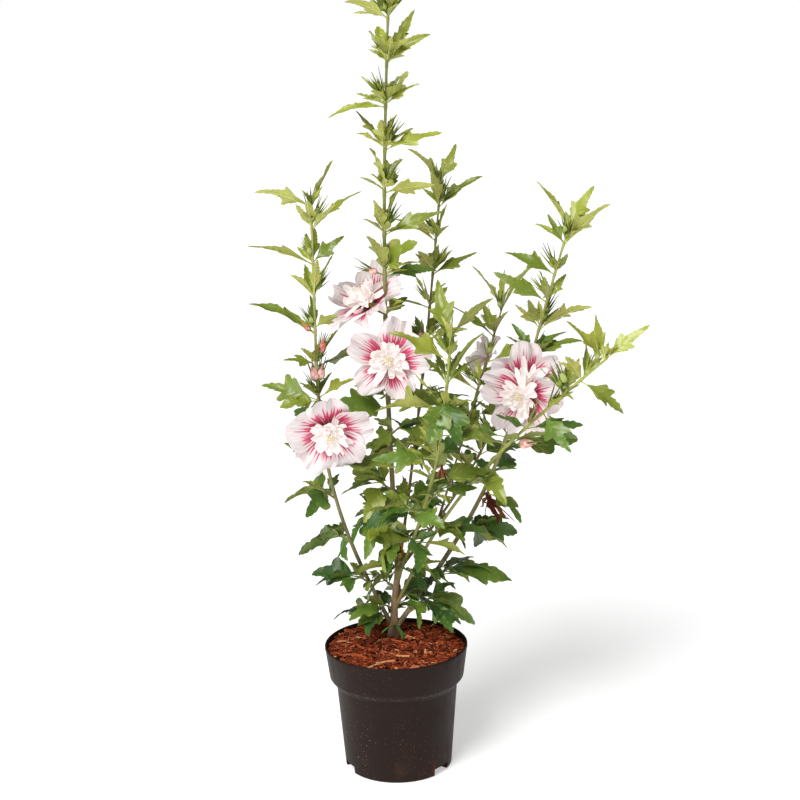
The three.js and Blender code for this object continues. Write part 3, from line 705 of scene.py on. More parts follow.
def plain_finishes():
    """Small growth dealt out in plain colours."""
    plain = dict(
        bract_dark=((90, 108, 42), 0.55), bract_light=((150, 160, 68), 0.55),
        bud_light=((166, 178, 100), 0.55), bud_green=((134, 152, 64), 0.55),
        bud_pink=((226, 158, 156), 0.6), bud_peach=((214, 112, 88), 0.6), bud_cream=((238, 206, 190), 0.6),
        twig_tan=((128, 122, 80), 0.7), stalk_green=((124, 138, 66), 0.6),
        # The paler of the two spent-bloom browns is a painted highlight.
        wilted_dark=((84, 34, 18), 0.85), wilted_painted_highlight=((146, 88, 54), 0.85),
        heart_cream=((252, 242, 206), 0.6),
        dry_wood=((240, 184, 88), 0.8), dry_wood_dark=((176, 98, 44), 0.85),
        # The darkest chips are in part painted shade in the gaps of the mulch.
        chip_red=((148, 62, 30), 0.9), chip_brown=((110, 44, 22), 0.92), chip_dark_and_gap_shade=((50, 18, 10), 0.95),
        chip_orange=((186, 92, 46), 0.88), chip_tan=((226, 160, 108), 0.85), chip_pink=((206, 120, 92), 0.88),
    )
    return {name: Finish(name, colour, rough, Specular_IOR_Level=0.25).material
            for name, (colour, rough) in plain.items()}


# ---------- making meshes ----------

def alone():
    bpy.ops.object.select_all(action="DESELECT")


def choose(*pieces):
    """Selects pieces and nothing else, the first of them the active one."""
    alone()
    for piece in pieces:
        piece.select_set(True)
    bpy.context.view_layer.objects.active = pieces[0]


def placed(name, data):
    made = bpy.data.objects.new(name, data)
    bpy.context.collection.objects.link(made)
    return made


def coat(piece, finish):
    piece.data.materials.clear()
    piece.data.materials.append(finish)


def smooth_under(degrees):
    """Smooths the chosen piece wherever its faces meet at less than an angle."""
    bpy.ops.object.shade_smooth_by_angle(angle=math.radians(degrees))


def modify(piece, kind, **settings):
    """Adds a modifier to the chosen piece and applies it."""
    made = piece.modifiers.new(kind.lower(), kind)
    for key, value in settings.items():
        setattr(made, key, value)
    bpy.ops.object.modifier_apply(modifier=made.name)


class Joined:
    """Corners and faces of many small forms, gathered for one joined mesh."""

    def __init__(self, name, finishes):
        self.name = name
        self.finishes = finishes
        self.points = []
        self.faces = []
        self.kinds = []
        self.grid = []
        self.count = 0

    def add(self, points, faces, kinds, grid=None):
        base = self.count
        self.points.append(np.asarray(points, float))
        self.faces.extend([tuple(base + i for i in face) for face in faces])
        self.kinds.extend([kinds] * len(faces) if isinstance(kinds, int) else kinds)
        if grid is not None:
            self.grid.append(np.asarray(grid, float))
        self.count += len(points)

    def make(self, smooth):
        mesh = bpy.data.meshes.new(self.name)
        mesh.from_pydata((np.concatenate(self.points) * MM).tolist(), [], self.faces)
        for finish in self.finishes:
            mesh.materials.append(finish)
        mesh.polygons.foreach_set("material_index", self.kinds)
        if self.grid:
            corners = np.zeros(len(mesh.loops), int)
            mesh.loops.foreach_get("vertex_index", corners)
            layer = mesh.uv_layers.new(name="UVMap")
            layer.data.foreach_set("uv", np.concatenate(self.grid)[corners].ravel())
        mesh.validate()
        piece = placed(self.name, mesh)
        if smooth:
            choose(piece)
            smooth_under(smooth)
        return piece


def basis(axis):
    """A rotation that takes +Z to an axis."""
    return np.array(Vector((0, 0, 1)).rotation_difference(Vector(axis)).to_matrix())


def spoke(turn):
    """The directions outwards and across at a turn about +Z."""
    out = np.array([math.cos(turn), math.sin(turn), 0])
    return out, np.array([-out[1], out[0], 0])


def ring_faces(rings, sides):
    """The faces between rings of corners that are listed ring after ring."""
    faces = []
    for i in range(rings - 1):
        for k in range(sides):
            n = (k + 1) % sides
            faces.append((i * sides + k, i * sides + n, (i + 1) * sides + n, (i + 1) * sides + k))
    return faces


def sheet(steps, corner):
    """A sheet's corners, faces and grid, its corners by a rule of u, -1 to 1 across, and v, 0 to 1 along."""
    along, across = steps
    shares = [(2 * j / across - 1, i / along) for i in range(along + 1) for j in range(across + 1)]
    row = across + 1
    faces = [(i * row + j, (i + 1) * row + j, (i + 1) * row + j + 1, i * row + j + 1)
             for i in range(along) for j in range(across)]
    return np.array([corner(u, v) for u, v in shares]), faces, np.array([(u / 2 + 0.5, v) for u, v in shares])


def bar(stations):
    """A three-sided bar: stations are (point, across, up, half width, above, below)."""
    points = []
    for point, across, up, half, above, below in stations:
        points += [point + up * above, point - across * half - up * below, point + across * half - up * below]
    faces = [(0, 2, 1)]
    for i in range(len(stations) - 1):
        a, b = 3 * i, 3 * i + 3
        for k in range(3):
            n = (k + 1) % 3
            faces.append((a + n, b + n, b + k, a + k)[::-1])
    last = 3 * (len(stations) - 1)
    faces.append((last, last + 1, last + 2))
    return points, faces


def sliver(places, across, up, half_widths, above, below):
    """A bar through places, as thick all along."""
    return bar([(place, across, up, half, above, below) for place, half in zip(places, half_widths)])


def tube(path, radii, sides):
    """A closed round rod through a path of points."""
    path = np.asarray(path, float)
    tangents = np.gradient(path, axis=0)
    tangents /= np.linalg.norm(tangents, axis=1)[:, None]
    side = np.cross(tangents[0], (0.13, 0.21, 0.97))
    points = []
    for where, tangent, radius in zip(path, tangents, radii):
        side = side - tangent * side.dot(tangent)
        side /= np.linalg.norm(side)
        other = np.cross(tangent, side)
        for k in range(sides):
            turn = FULL_TURN * k / sides
            points.append(where + radius * (side * math.cos(turn) + other * math.sin(turn)))
    ends = [tuple(range(sides))[::-1], tuple(range((len(path) - 1) * sides, len(path) * sides))]
    return points, [ends[0], *ring_faces(len(path), sides), ends[1]]


# ---------- leaves ----------

# Half of a leaf blade from its foot to its tip, rib by rib: where the rib leaves the midrib and where it
# ends, as shares of the blade's length, and how far out it ends, as a share of the half width.
LOBED_RIBS = [
    (0.00, 0.00, 0.05), (0.04, 0.15, 0.26), (0.08, 0.25, 0.58), (0.12, 0.31, 0.80), (0.15, 0.36, 0.83),
    (0.19, 0.39, 0.74), (0.23, 0.46, 0.98), (0.27, 0.53, 1.00), (0.31, 0.55, 0.84), (0.36, 0.52, 0.60),
    (0.42, 0.51, 0.38), (0.49, 0.60, 0.42), (0.54, 0.65, 0.42), (0.60, 0.67, 0.31), (0.68, 0.76, 0.34),
    (0.73, 0.80, 0.28), (0.79, 0.82, 0.19), (0.87, 0.91, 0.16), (0.93, 0.95, 0.09),
]
YOUNG_RIBS = [
    (0.00, 0.00, 0.06), (0.06, 0.20, 0.46), (0.14, 0.34, 0.84), (0.19, 0.39, 0.78), (0.27, 0.50, 0.96),
    (0.34, 0.54, 0.72), (0.42, 0.56, 0.50), (0.50, 0.66, 0.54), (0.60, 0.69, 0.36), (0.73, 0.82, 0.34),
    (0.84, 0.87, 0.18),
]
BLUNT_RIBS = [
    (0.00, 0.00, 0.08), (0.03, 0.08, 0.34), (0.06, 0.16, 0.66), (0.09, 0.24, 0.88), (0.12, 0.30, 0.92),
    (0.16, 0.35, 0.90), (0.19, 0.42, 1.02), (0.23, 0.49, 1.03), (0.28, 0.54, 0.92), (0.33, 0.56, 0.72),
    (0.38, 0.55, 0.52), (0.44, 0.59, 0.50), (0.50, 0.66, 0.56), (0.56, 0.71, 0.52), (0.62, 0.74, 0.44),
    (0.68, 0.81, 0.44), (0.75, 0.87, 0.36), (0.82, 0.90, 0.25), (0.90, 0.97, 0.17),
]
NARROW_RIBS = [
    (0.00, 0.00, 0.05), (0.04, 0.12, 0.26), (0.08, 0.20, 0.52), (0.12, 0.30, 0.84), (0.16, 0.34, 0.78),
    (0.20, 0.40, 0.96), (0.24, 0.46, 1.02), (0.28, 0.46, 0.80), (0.33, 0.46, 0.56), (0.39, 0.53, 0.50),
    (0.45, 0.58, 0.54), (0.51, 0.60, 0.44), (0.57, 0.68, 0.46), (0.64, 0.71, 0.35), (0.71, 0.79, 0.35),
    (0.78, 0.82, 0.25), (0.85, 0.90, 0.22), (0.93, 0.95, 0.10),
]
BLADE_THICK = 0.22
# How far the blade sinks along a rib that ends in a tooth and rises between two of them, in thicknesses.
QUILTING = 3.0
HALFWAY = (0.52, 0.5)  # the shares along and out where a rib is bent by it


class LeafForm:
    """The flat pattern of a leaf: its corners as (share along, share out, layer) and its faces."""

    def __init__(self, ribs, lobing, breadth):
        self.points = []
        self.faces = []
        self.kinds = []
        self.ribs = []
        for root, end, out in ribs:
            if end > 0.5 and out < 0.65:
                out = out * (1.3 - 0.42 * lobing)
            elif out > 0.8:
                out = out * (0.8 + 0.22 * lobing)
            self.ribs.append((root, end, out * breadth))
        self.lobe = max(range(len(self.ribs)), key=lambda i: self.ribs[i][2])
        outs = [0] + [out for _, _, out in self.ribs] + [0]
        teeth = [outs[i] >= outs[i - 1] and outs[i] >= outs[i + 1] for i in range(1, len(outs) - 1)]
        tip = self._corner(1, 0, 0)
        midribs = {layer: [self._corner(root, 0, layer) for root, _, _ in self.ribs] for layer in (1, -1)}
        for side in (1, -1):
            edge = [self._corner(end, side * out, 0) for _, end, out in self.ribs]
            halfway = {layer: [self._corner(root + (end - root) * HALFWAY[0], side * out * HALFWAY[1],
                                            layer + QUILTING * (1 - 2 * tooth))
                               for (root, end, out), tooth in zip(self.ribs, teeth)] for layer in (1, -1)}
            for layer, kind in ((1, 0), (-1, 1)):
                self._strip(midribs[layer], halfway[layer], tip, side * layer > 0, kind)
                self._strip(halfway[layer], edge, tip, side * layer > 0, kind)
            foot = (midribs[1][0], halfway[1][0], edge[0], halfway[-1][0], midribs[-1][0])
            self.faces.append(foot if side > 0 else foot[::-1])
            self.kinds.append(1)
        self.corners = np.array(self.points)

    def _corner(self, along, out, layer):
        self.points.append((along, out, layer))
        return len(self.points) - 1

    def _strip(self, inner, outer, tip, as_is, kind):
        last = len(inner) - 1
        for i in range(last + 1):
            if i < last:
                face = (inner[i], inner[i + 1], outer[i + 1], outer[i])
            else:
                face = (inner[i], tip, outer[i])
            self.faces.append(face if as_is else face[::-1])
            self.kinds.append(kind)


def leaf_forms(ribs, *cuts):
    return [LeafForm(ribs, lobing, breadth) for lobing, breadth in cuts]


LOBED_FORMS = leaf_forms(LOBED_RIBS, (0.3, 0.92), (0.75, 1.0), (1.0, 1.04), (0.9, 0.88), (1.15, 0.96))
BLUNT_FORMS = leaf_forms(BLUNT_RIBS, (0.5, 0.96), (0.9, 1.06), (1.1, 0.9))
NARROW_FORMS = leaf_forms(NARROW_RIBS, (0.7, 0.74), (1.0, 0.84), (0.4, 0.66))
YOUNG_FORMS = leaf_forms(YOUNG_RIBS, (0.2, 0.8), (0.9, 1.0))
# A leaf shorter than this is a young one. Of the others the lower are blunt, the middling lobed and the upper
# narrow.
YOUNG_BELOW = 45
BLUNT_BELOW = 0.45
LOBED_BELOW = 0.85
BROADENED = 1.25  # how much wider a broad leaf is
RIB_THICK = 0.75


def pick_form(leaf, small, raised, draw):
    """The pattern that a leaf is cut to."""
    place = draw() * 0.5 + raised
    if leaf["broad"]:
        forms = BLUNT_FORMS
    elif small:
        forms = YOUNG_FORMS
    elif place < BLUNT_BELOW:
        forms = BLUNT_FORMS
    else:
        forms = LOBED_FORMS if place < LOBED_BELOW else NARROW_FORMS
    return forms[int(draw() * len(forms))]


def shape_leaf(leaf, draw):
    """The corners, faces and kinds of one leaf: its folded, arched blade, and its ribs with the stalk."""
    length = leaf["length"]
    arch = leaf["arch"]
    small = length < YOUNG_BELOW
    raised = min(1.0, max(0.0, leaf["zone"]))
    form = pick_form(leaf, small, raised, draw)
    stalk = STALK_SHARE * (0.55 if small else 0.9 + 0.3 * draw()) * (1 - 0.55 * raised)
    half = LEAF_WIDTH * length / 2 * (0.9 + 0.22 * draw()) * (1 - 0.06 * raised)
    if leaf["broad"]:
        half *= BROADENED
    fold = 0.12 + 0.5 * draw() + (0.2 if small else 0)
    droop = (0.0 if small else 0.34) * draw()
    wave = (0.12 + 0.26 * draw()) * half
    phase = ROUGH_TURN * draw()
    beats = 1.3 + 1.1 * draw()
    twist = math.radians(spread(draw, 70))
    bend = spread(draw, 0.2)
    curl = (draw() - 0.4) * 0.3

    def blade(share, out, rise):
        """The place of a share along the leaf and a share of its half width, with a rise above the blade."""
        share = np.asarray(share, float)
        out = np.asarray(out, float)
        outwards = np.abs(out)
        x = share * length
        y = out * half
        rippled = np.sin(phase + np.sign(out) * 1.3 + beats * ROUGH_TURN * share)
        z = fold * np.abs(y) - droop * half * outwards ** 2 + wave * outwards * rippled
        turn = twist * share
        y, z = y * np.cos(turn) - z * np.sin(turn), y * np.sin(turn) + z * np.cos(turn)
        y = y + bend * length * share ** 2
        z = z + rise - arch * length * share ** 2 - curl * length * np.clip(share - 0.62, 0, 1) ** 2 * 3
        x = x - 0.35 * arch * length * share ** 3
        return np.stack([x, y, z], -1)

    share = stalk + (1 - stalk) * form.corners[:, 0]
    points = blade(share, form.corners[:, 1], form.corners[:, 2] * BLADE_THICK)
    faces = list(form.faces)
    kinds = list(form.kinds)

    def rib_bar(steps, rise):
        places = [blade(s, o, rise) for s, o, _ in steps]
        stations = []
        for i, (_, _, half_width) in enumerate(steps):
            forward = places[min(i + 1, len(places) - 1)] - places[max(i - 1, 0)]
            forward = forward / np.linalg.norm(forward)
            across = np.cross((0, 0, 1), forward)
            across /= np.linalg.norm(across)
            up = np.cross(forward, across)
            stations.append((places[i], across, up, half_width, RIB_THICK * half_width, 1.2 * half_width))
        return bar(stations)
    wide = 0.55 + 0.35 * min(1, length / LEAF_LENGTH)
    midrib = [(0, 0, wide), (stalk * 0.6, 0, wide * 0.9), (stalk, 0, wide * 0.85)]
    midrib += [(stalk + (1 - stalk) * s, 0, wide * (0.8 - 0.55 * s)) for s in (0.25, 0.5, 0.75, 0.96)]
    ribs = [(midrib, 0.0)]
    if not small:
        _, end, out = form.ribs[form.lobe]
        for side in (1, -1):
            lobe_rib = [(stalk + (1 - stalk) * (0.03 + (end - 0.03) * k), side * out * k,
                         wide * (0.55 - 0.35 * k)) for k in (0.0, 0.45, 0.92)]
            ribs.append((lobe_rib, QUILTING * BLADE_THICK * 0.6))
    for steps, rise in ribs:
        bar_points, bar_faces = rib_bar(steps, rise)
        base = len(points)
        points = np.concatenate([points, bar_points])
        faces += [tuple(base + i for i in face) for face in bar_faces]
        kinds += [2] * len(bar_faces)
    turned = pose(heading(leaf["bearing"], leaf["lift"]), leaf["roll"])
    return points @ turned.T + leaf["foot"], faces, kinds


# How a leaf's place among the greens follows from its zone, its neighbours' common tone and its own draw.
# The wide spread of tone and own draw sets dark and pale leaves side by side, in part as painted shade and
# highlight.
GREEN_PLACE = dict(start=3.35, zone=2.5, tone=2.2, own=3.4)
TONE_STEP = 40  # leaves of one shoot within this height share a tone


def make_leaves(finishes):
    """One joined piece of leaves for each shoot, and one for the short twigs low down."""
    groups = {}
    for leaf in leaves:
        key = leaf["mass"] if leaf["mass"].startswith("foliage_") else "lower"
        groups.setdefault(key, []).append(leaf)
    pieces = []
    for key, members in groups.items():
        name = "leaves_" + key.replace("foliage_", "")
        joined = Joined(name, finishes)
        draw = draws(SEEDS["leaves"] + len(pieces))
        tones = {}
        for leaf in members:
            points, faces, kinds = shape_leaf(leaf, draw)
            spray = leaf["mass"] if key == "lower" else (leaf["mass"], int(leaf["foot"][2] / TONE_STEP))
            tone = tones.setdefault(spray, spread(draw, 1))
            place = GREEN_PLACE["start"] + leaf["zone"] * GREEN_PLACE["zone"] + tone * GREEN_PLACE["tone"]
            place += spread(draw, GREEN_PLACE["own"])
            # Dark and pale ends of the greens: in part painted shade and painted highlight.
            green = int(min(len(GREENS) - 1, max(0, place)))
            joined.add(points, faces, [3 * green + kind for kind in kinds])
        piece = joined.make(SMOOTH["leaves"])
        stands_for = sorted({leaf["mass"] for leaf in members})
        pieces.append((piece, stands_for))
    return pieces


# ---------- buds, twigs and spent blooms ----------

# The rings of a bud: the share of its length, and of its radius.
BUD_RINGS = [(0.36, 0.30), (0.44, 0.86), (0.58, 1.0), (0.74, 0.78), (0.9, 0.34), (1.0, 0.04)]
BUD_SIDES = 8
BRACT_HALF_WIDTHS = (1.0, 1.2, 0.25)
BRACTS_FROM = 0.36  # the share of a bud's length where its bracts start
SPENT_STRANDS = 14
STUB_SLIVERS = 7


def shape_bud(joined, bud, kinds, draw):
    """A closed bud on its stalk, in a ring of long narrow bracts."""
    size = bud["size"]
    turned = basis(bud["axis"])
    foot = bud["foot"]
    tip = BUD["tip"] * size
    calyx, bract, petals = kinds

    def put(points, faces, kind):
        joined.add(np.asarray(points) @ turned.T + foot, faces, kind)
    put(*tube([(0, 0, 0), (0, 0, tip * 0.2), (0, 0, tip * 0.4)], [0.9, 0.8, 1.1], 5), bract)
    points = []
    for share, wide in BUD_RINGS:
        for k in range(BUD_SIDES):
            turn = FULL_TURN * k / BUD_SIDES
            ribbed = 1 + (0.07 if k % 2 else -0.04)
            radius = BUD["radius"] * size * wide * ribbed
            points.append((radius * math.cos(turn), radius * math.sin(turn), tip * share))
    rings = len(BUD_RINGS)
    ends = [tuple(range(BUD_SIDES))[::-1], tuple(range((rings - 1) * BUD_SIDES, rings * BUD_SIDES))]
    cupped = 2 if petals[0] == petals[1] else 1
    shares = [calyx] * BUD_SIDES * cupped
    for band in range(rings - 1 - cupped):
        shares += [petals[(band + k) % 3 == 0] for k in range(BUD_SIDES)]
    put(points, ring_faces(rings, BUD_SIDES) + ends, shares + [calyx, petals[0]])
    count = 4 + int(draw() * 3)
    for k in range(count):
        out, across = spoke(FULL_TURN * (k + draw() * 0.5) / count)
        leaning = (3 + 8 * draw()) * size ** 0.5
        reach = (20 + 15 * draw()) * size ** 0.5
        start = np.array([0, 0, tip * BRACTS_FROM])
        places = [start + out * 1.2, start + out * (leaning * 0.55) + (0, 0, reach * 0.42),
                  start + out * (leaning + spread(draw, 2)) + (0, 0, reach)]
        put(*bar([(p, across, out, w, 0.6 * w + 0.1, 0.5 * w) for p, w in zip(places, BRACT_HALF_WIDTHS)]),
            bract)


def shape_wilted(joined, foot, size, lean, draw):
    """A spent bloom: a twist of shrivelled petals that hangs from its calyx."""
    foot = np.asarray(foot, float)
    down = np.array([lean, -0.1, -1.0])
    calyx = tube([foot, foot + (1, 0, 1), foot + down * 6 * size], [1.1, 2.2 * size, 3.4 * size], 7)
    joined.add(*calyx, 0)
    for k in range(SPENT_STRANDS):
        out, across = spoke(FULL_TURN * k / SPENT_STRANDS + draw())
        flare = (4 + 17 * draw()) * size
        reach = (12 + 21 * draw()) * size
        path = [foot + down * 4 * size, foot + down * reach * 0.45 + out * flare * 0.5,
                foot + down * reach * (0.65 + 0.2 * draw()) + out * flare * 0.8,
                foot + down * reach * (0.8 + 0.3 * draw()) + out * flare]
        path[2] += across * spread(draw, 9) * size
        wide = (1.6, 3.2, 2.2, 0.6) if k % 3 else (1.0, 1.1, 0.9, 0.4)
        # Every other strand takes the paler brown, a painted highlight.
        joined.add(*sliver(path, across, out, [w * size for w in wide], 0.4, 0.5), k % 2)


BUD_FINISHES = ("bract_dark", "bract_light", "bud_light", "bud_green", "bud_pink", "bud_peach", "bud_cream")
YOUNG_ZONE = 0.55


def make_buds(plain):
    joined = Joined("buds", [plain[name] for name in BUD_FINISHES])
    draw = draws(SEEDS["buds"])
    for bud in buds:
        calyx = 2 if draw() < 0.5 else 3
        petals = {"green": (calyx, calyx), "pink": (4, 6), "peach": (5, 4)}[bud["kind"]]
        bract = 1 if bud["zone"] > YOUNG_ZONE and draw() < 0.6 else 0
        shape_bud(joined, bud, (calyx, bract, petals), draw)
    return joined.make(SMOOTH["small"])


def make_wilted(plain):
    joined = Joined("spent_blooms", [plain["wilted_dark"], plain["wilted_painted_highlight"]])
    draw = draws(SEEDS["wilted"])
    for foot, size, lean in wilted:
        shape_wilted(joined, foot, size, lean, draw)
    return joined.make(SMOOTH["small"])


def shape_stub(joined, trunk, draw):
    """The trunk's old pruning cut, torn into a few dry slivers."""
    top = trunk.at(1.0)
    joined.add(*tube([top - (0, 0, 2), top + (0, 0, 0.6)], [4.6, 3.9], 9), 2)
    for k in range(STUB_SLIVERS):
        out, across = spoke(math.radians(52 * k + 30 * draw()))
        reach = 7 + 12 * draw()
        places = [top + out * 2.8 - (0, 0, 5), top + out * 3.2 + (0, 0, reach * 0.5),
                  top + out * (4 + 2 * draw()) + (0, 0, reach)]
        joined.add(*sliver(places, across, out, (2.8, 2.4, 0.5), 0.6, 0.5), 3 if k % 3 == 2 else 2)


def make_twigs(plain, curves):
    finishes = [plain[name] for name in ("twig_tan", "stalk_green", "dry_wood", "dry_wood_dark")]
    joined = Joined("twigs", finishes)
    shape_stub(joined, curves["trunk"], draws(SEEDS["stub"]))
    for start, end, thick, thin in twigs:
        path = [start, (start + end) / 2 + (0, 0, -0.6), end]
        joined.add(*tube(path, [thick, (thick + thin) / 2, thin], 7), 0)
    for bloom in BLOOMS:
        foot = curves[bloom["on"]].at_length(bloom["along"])
        base = np.array(bloom["throat"]) - heading(bloom["faces"], bloom["lifts"]) * FUNNEL * bloom["size"]
        mid = (foot + base) / 2 + np.array([0, 0, -1.5])
        joined.add(*tube([foot, mid, base], [1.7, 1.6, 2.2], 7), 1)
    return joined.make(SMOOTH["small"])


# ---------- blooms ----------

PETAL_STEPS = (12, 14)  # along and across
PETAL_ROOT = 3  # how far out from the throat's middle a petal starts
RUFFLE = 8.0
PETAL_LEAN = 3.2  # how much one edge of a petal lies over its neighbour


def seat(bloom, points):
    """Puts a bloom's own points, its throat at the origin and its face up, in their place on the shrub."""
    turned = basis(heading(bloom["faces"], bloom["lifts"]))
    return np.asarray(points) @ turned.T + np.array(bloom["throat"])


def add_seated(joined, bloom, form, kind, place):
    """Adds a solid form of a bloom, all of it at one place on the petals' grid."""
    points, faces = form
    joined.add(seat(bloom, points), faces, kind, np.full((len(points), 2), place))


def shape_petals(joined, bloom, draw):
    """Five broad overlapping petals, ruffled towards their rims."""
    size = bloom["size"]
    root = PETAL_ROOT * size
    pale = bloom.get("pale", 0)
    for petal in range(PETAL_COUNT):
        if petal == bloom.get("lost"):
            continue
        turn = math.radians(bloom["turn"]) + FULL_TURN * (petal + spread(draw, 0.06)) / PETAL_COUNT
        reach = PETAL_LENGTH * size * (0.95 + 0.07 * draw())
        ruffle = RUFFLE * size * (0.7 + 0.6 * draw())
        breadth = bloom["breadth"] * (0.92 + 0.16 * draw())
        phases = [ROUGH_TURN * draw() for _ in range(4)]
        lean = PETAL_LEAN * size
        tilt = spread(draw, 9) * size

        def corner(u, v):
            swell = 3.5 + 19.5 * math.sin(min(1.0, v * 1.3) * math.pi / 2) ** 1.2
            half = breadth * size * swell
            half *= 1 - 0.08 * max(0.0, (v - 0.8) / 0.2) ** 2
            rounded = 1 - 0.34 * (1 - math.sqrt(1 - 0.97 * u * u)) + 0.05 * math.sin(5 * u + phases[0]) * v
            height = -FUNNEL * size * (1 - v) ** 1.7 + 8.5 * size * v ** 1.6
            height += lean * u * min(1, 2 * v) - 5 * size * max(0, v - 0.75) * 2.2 + tilt * v ** 2
            waves = 0.62 * math.sin(4.4 * u + phases[1]) + 0.38 * math.sin(9.5 * u + phases[2] + 2 * v)
            height += v ** 1.8 * ruffle * (waves + 0.22 * math.sin(17 * u + phases[3]))
            height -= 3.5 * size * u * u * (1 - v)
            return root + (reach * rounded - root) * v, u * half, height
        points, faces, grid = sheet(PETAL_STEPS, corner)
        grid[:, 1] = pale + (1 - pale) * grid[:, 1]
        bearings = np.arctan2(points[:, 1], points[:, 0])
        radius = np.hypot(points[:, 0], points[:, 1])
        radius = np.where(radius > reach, reach + (radius - reach) * 0.2, radius)
        points[:, 0] = radius * np.cos(bearings + turn)
        points[:, 1] = radius * np.sin(bearings + turn)
        joined.add(seat(bloom, points), faces, 0, grid)


# The rings of inner petals: how many, how long, by how many degrees they rise, and how far round they are
# shifted.
TUFT_RINGS = [(11, 32, 8, 0.0), (11, 28, 26, 0.3), (9, 22, 50, 0.1), (6, 14, 74, 0.5)]
TUFT_STEPS = (6, 5)  # along and across


def rolled(a, b, angle):
    return a * math.cos(angle) - b * math.sin(angle), a * math.sin(angle) + b * math.cos(angle)


def shape_tuft(joined, bloom, draw):
    """Rings of small crumpled inner petals, each ring shorter and steeper than the one outside it."""
    size = bloom["size"]
    for count, long, tilt, shift in TUFT_RINGS:
        for k in range(count):
            turn = FULL_TURN * (k + shift + 0.5 * draw()) / count
            reach = size * long * (0.66 + 0.5 * draw())
            lean = math.radians(tilt + spread(draw, 34))
            half_width = size * (2.4 + 3.0 * draw()) * (0.7 + long / 50)
            roll = math.radians(spread(draw, 80))
            curl = (draw() - 0.3) * 0.9
            phase = ROUGH_TURN * draw()

            def corner(u, v):
                rounded = 1 - 0.35 * max(0, v - 0.8) * 5 * u * u
                half = half_width * math.sin(0.25 + min(1, 1.1 * v) * 1.5) * rounded
                height = 0.45 * half * u * u + 1.5 * size * v * math.sin(phase + 4 * u + 5 * v)
                side, height = rolled(u * half, height, roll * v)
                out, height = rolled(reach * v * (1 - 0.08 * u * u), height, lean + curl * v * v)
                return out + 2.0 * size, side, height - 3.5 * size
            points, faces, grid = sheet(TUFT_STEPS, corner)
            c, s = math.cos(turn), math.sin(turn)
            points = points @ np.array([[c, s, 0], [-s, c, 0], [0, 0, 1]])
            joined.add(seat(bloom, points), faces, 1, grid)


HEART_COUNT = 12
HEART_GRID = 0.9  # the stamens' one place on the petals' grid


def shape_heart(joined, bloom, draw):
    """The cream stamens in the middle of the tuft."""
    size = bloom["size"]
    for k in range(HEART_COUNT):
        turn = 2.4 * k
        out = (1 + 4 * (k / HEART_COUNT) ** 0.6) * size
        top = (TUFT_DEPTH + 1 + 2 * draw()) * size
        start = np.array([out * 0.3 * math.cos(turn), out * 0.3 * math.sin(turn), -2])
        end = np.array([out * math.cos(turn), out * math.sin(turn), top - 0.1 * out * out / size])
        path = [start, start * 0.3 + end * 0.7, end * 0.95, end]
        add_seated(joined, bloom, tube(path, [0.5, 0.5, 1.1 * size, 0.5], 5), 2, HEART_GRID)


CALYX_LOBES = 5
CALYX_BRACTS = 8
CALYX_GRID = 0.5
# The rings of the cup: how far above its foot, and how wide.
CALYX_RINGS = [(0, 1.6), (2, 4.2), (7, 6.2), (11, 6.6)]


def shape_calyx(joined, bloom, draw):
    """The green cup behind a bloom, its five lobes and its narrow bracts."""
    size = bloom["size"]
    base = -(FUNNEL + 4) * size
    cup = tube([(0, 0, base + z) for z, _ in CALYX_RINGS], [r * size for _, r in CALYX_RINGS], 10)
    add_seated(joined, bloom, cup, 3, CALYX_GRID)
    count = CALYX_LOBES + CALYX_BRACTS
    for k in range(count):
        lobe = k < CALYX_LOBES
        turn = FULL_TURN * (k + 0.3 * draw()) / count
        out, across = spoke(FULL_TURN * k / CALYX_LOBES if lobe else turn)
        reach = (19 if lobe else 15 + 8 * draw()) * size
        wide = 3.4 if lobe else 0.9
        root = np.array([0, 0, base + (6 if lobe else 1)])
        places = [root + out * 3 * size, root + out * (7 if lobe else 8) * size + (0, 0, reach * 0.35),
                  root + out * (12 if lobe else 15) * size + (0, 0, reach * 0.62)]
        half_widths = [w * size for w in (wide, wide, 0.2)]
        points, faces = sliver(places, across, np.array([0, 0, -1.0]), half_widths, 0.3, 0.3)
        add_seated(joined, bloom, (points, [face[::-1] for face in faces]), 3, CALYX_GRID)


PETAL_THICK = 0.45


def make_bloom(order, bloom, finishes):
    """One double bloom, its petals and inner petals given their thickness."""
    draw = draws(SEEDS["blooms"] + order)
    sheets = Joined(f"bloom_{order + 1}", finishes)
    shape_petals(sheets, bloom, draw)
    shape_tuft(sheets, bloom, draw)
    piece = sheets.make(0)
    choose(piece)
    modify(piece, "SOLIDIFY", thickness=PETAL_THICK * MM, offset=0)
    solids = Joined(f"bloom_{order + 1}_heart", finishes)
    shape_heart(solids, bloom, draw)
    shape_calyx(solids, bloom, draw)
    choose(piece, solids.make(0))
    bpy.ops.object.join()
    smooth_under(SMOOTH["blooms"])
    return piece


# ---------- trunk and shoots ----------

BARK_GRAIN = 0.008  # in metres


def make_limb(name, path, radii, finish, relief, sides):
    """A limb as a bevelled curve made into a mesh, with its bark raised and sunk along the grain."""
    alone()
    line = bpy.data.curves.new(name, "CURVE")
    line.dimensions = "3D"
    line.bevel_depth = 1.0 * MM
    line.bevel_resolution = sides // 2 - 2
    line.use_fill_caps = True
    run = line.splines.new("POLY")
    run.points.add(len(path) - 1)
    for point, place, radius in zip(run.points, path, radii):
        point.co = (*(np.asarray(place) * MM), 1)
        point.radius = radius
    piece = placed(name, line)
    choose(piece)
    bpy.ops.object.convert(target="MESH")
    coat(piece, finish)
    grain = bpy.data.textures.new(name + "_grain", "CLOUDS")
    grain.noise_scale = BARK_GRAIN
    grain.noise_depth = 2
    modify(piece, "DISPLACE", texture=grain, texture_coords="LOCAL", strength=relief * MM, mid_level=0.5)
    smooth_under(SMOOTH["bark"])
    return piece


def taper(radii, share):
    return radii[0] + (radii[1] - radii[0]) * share


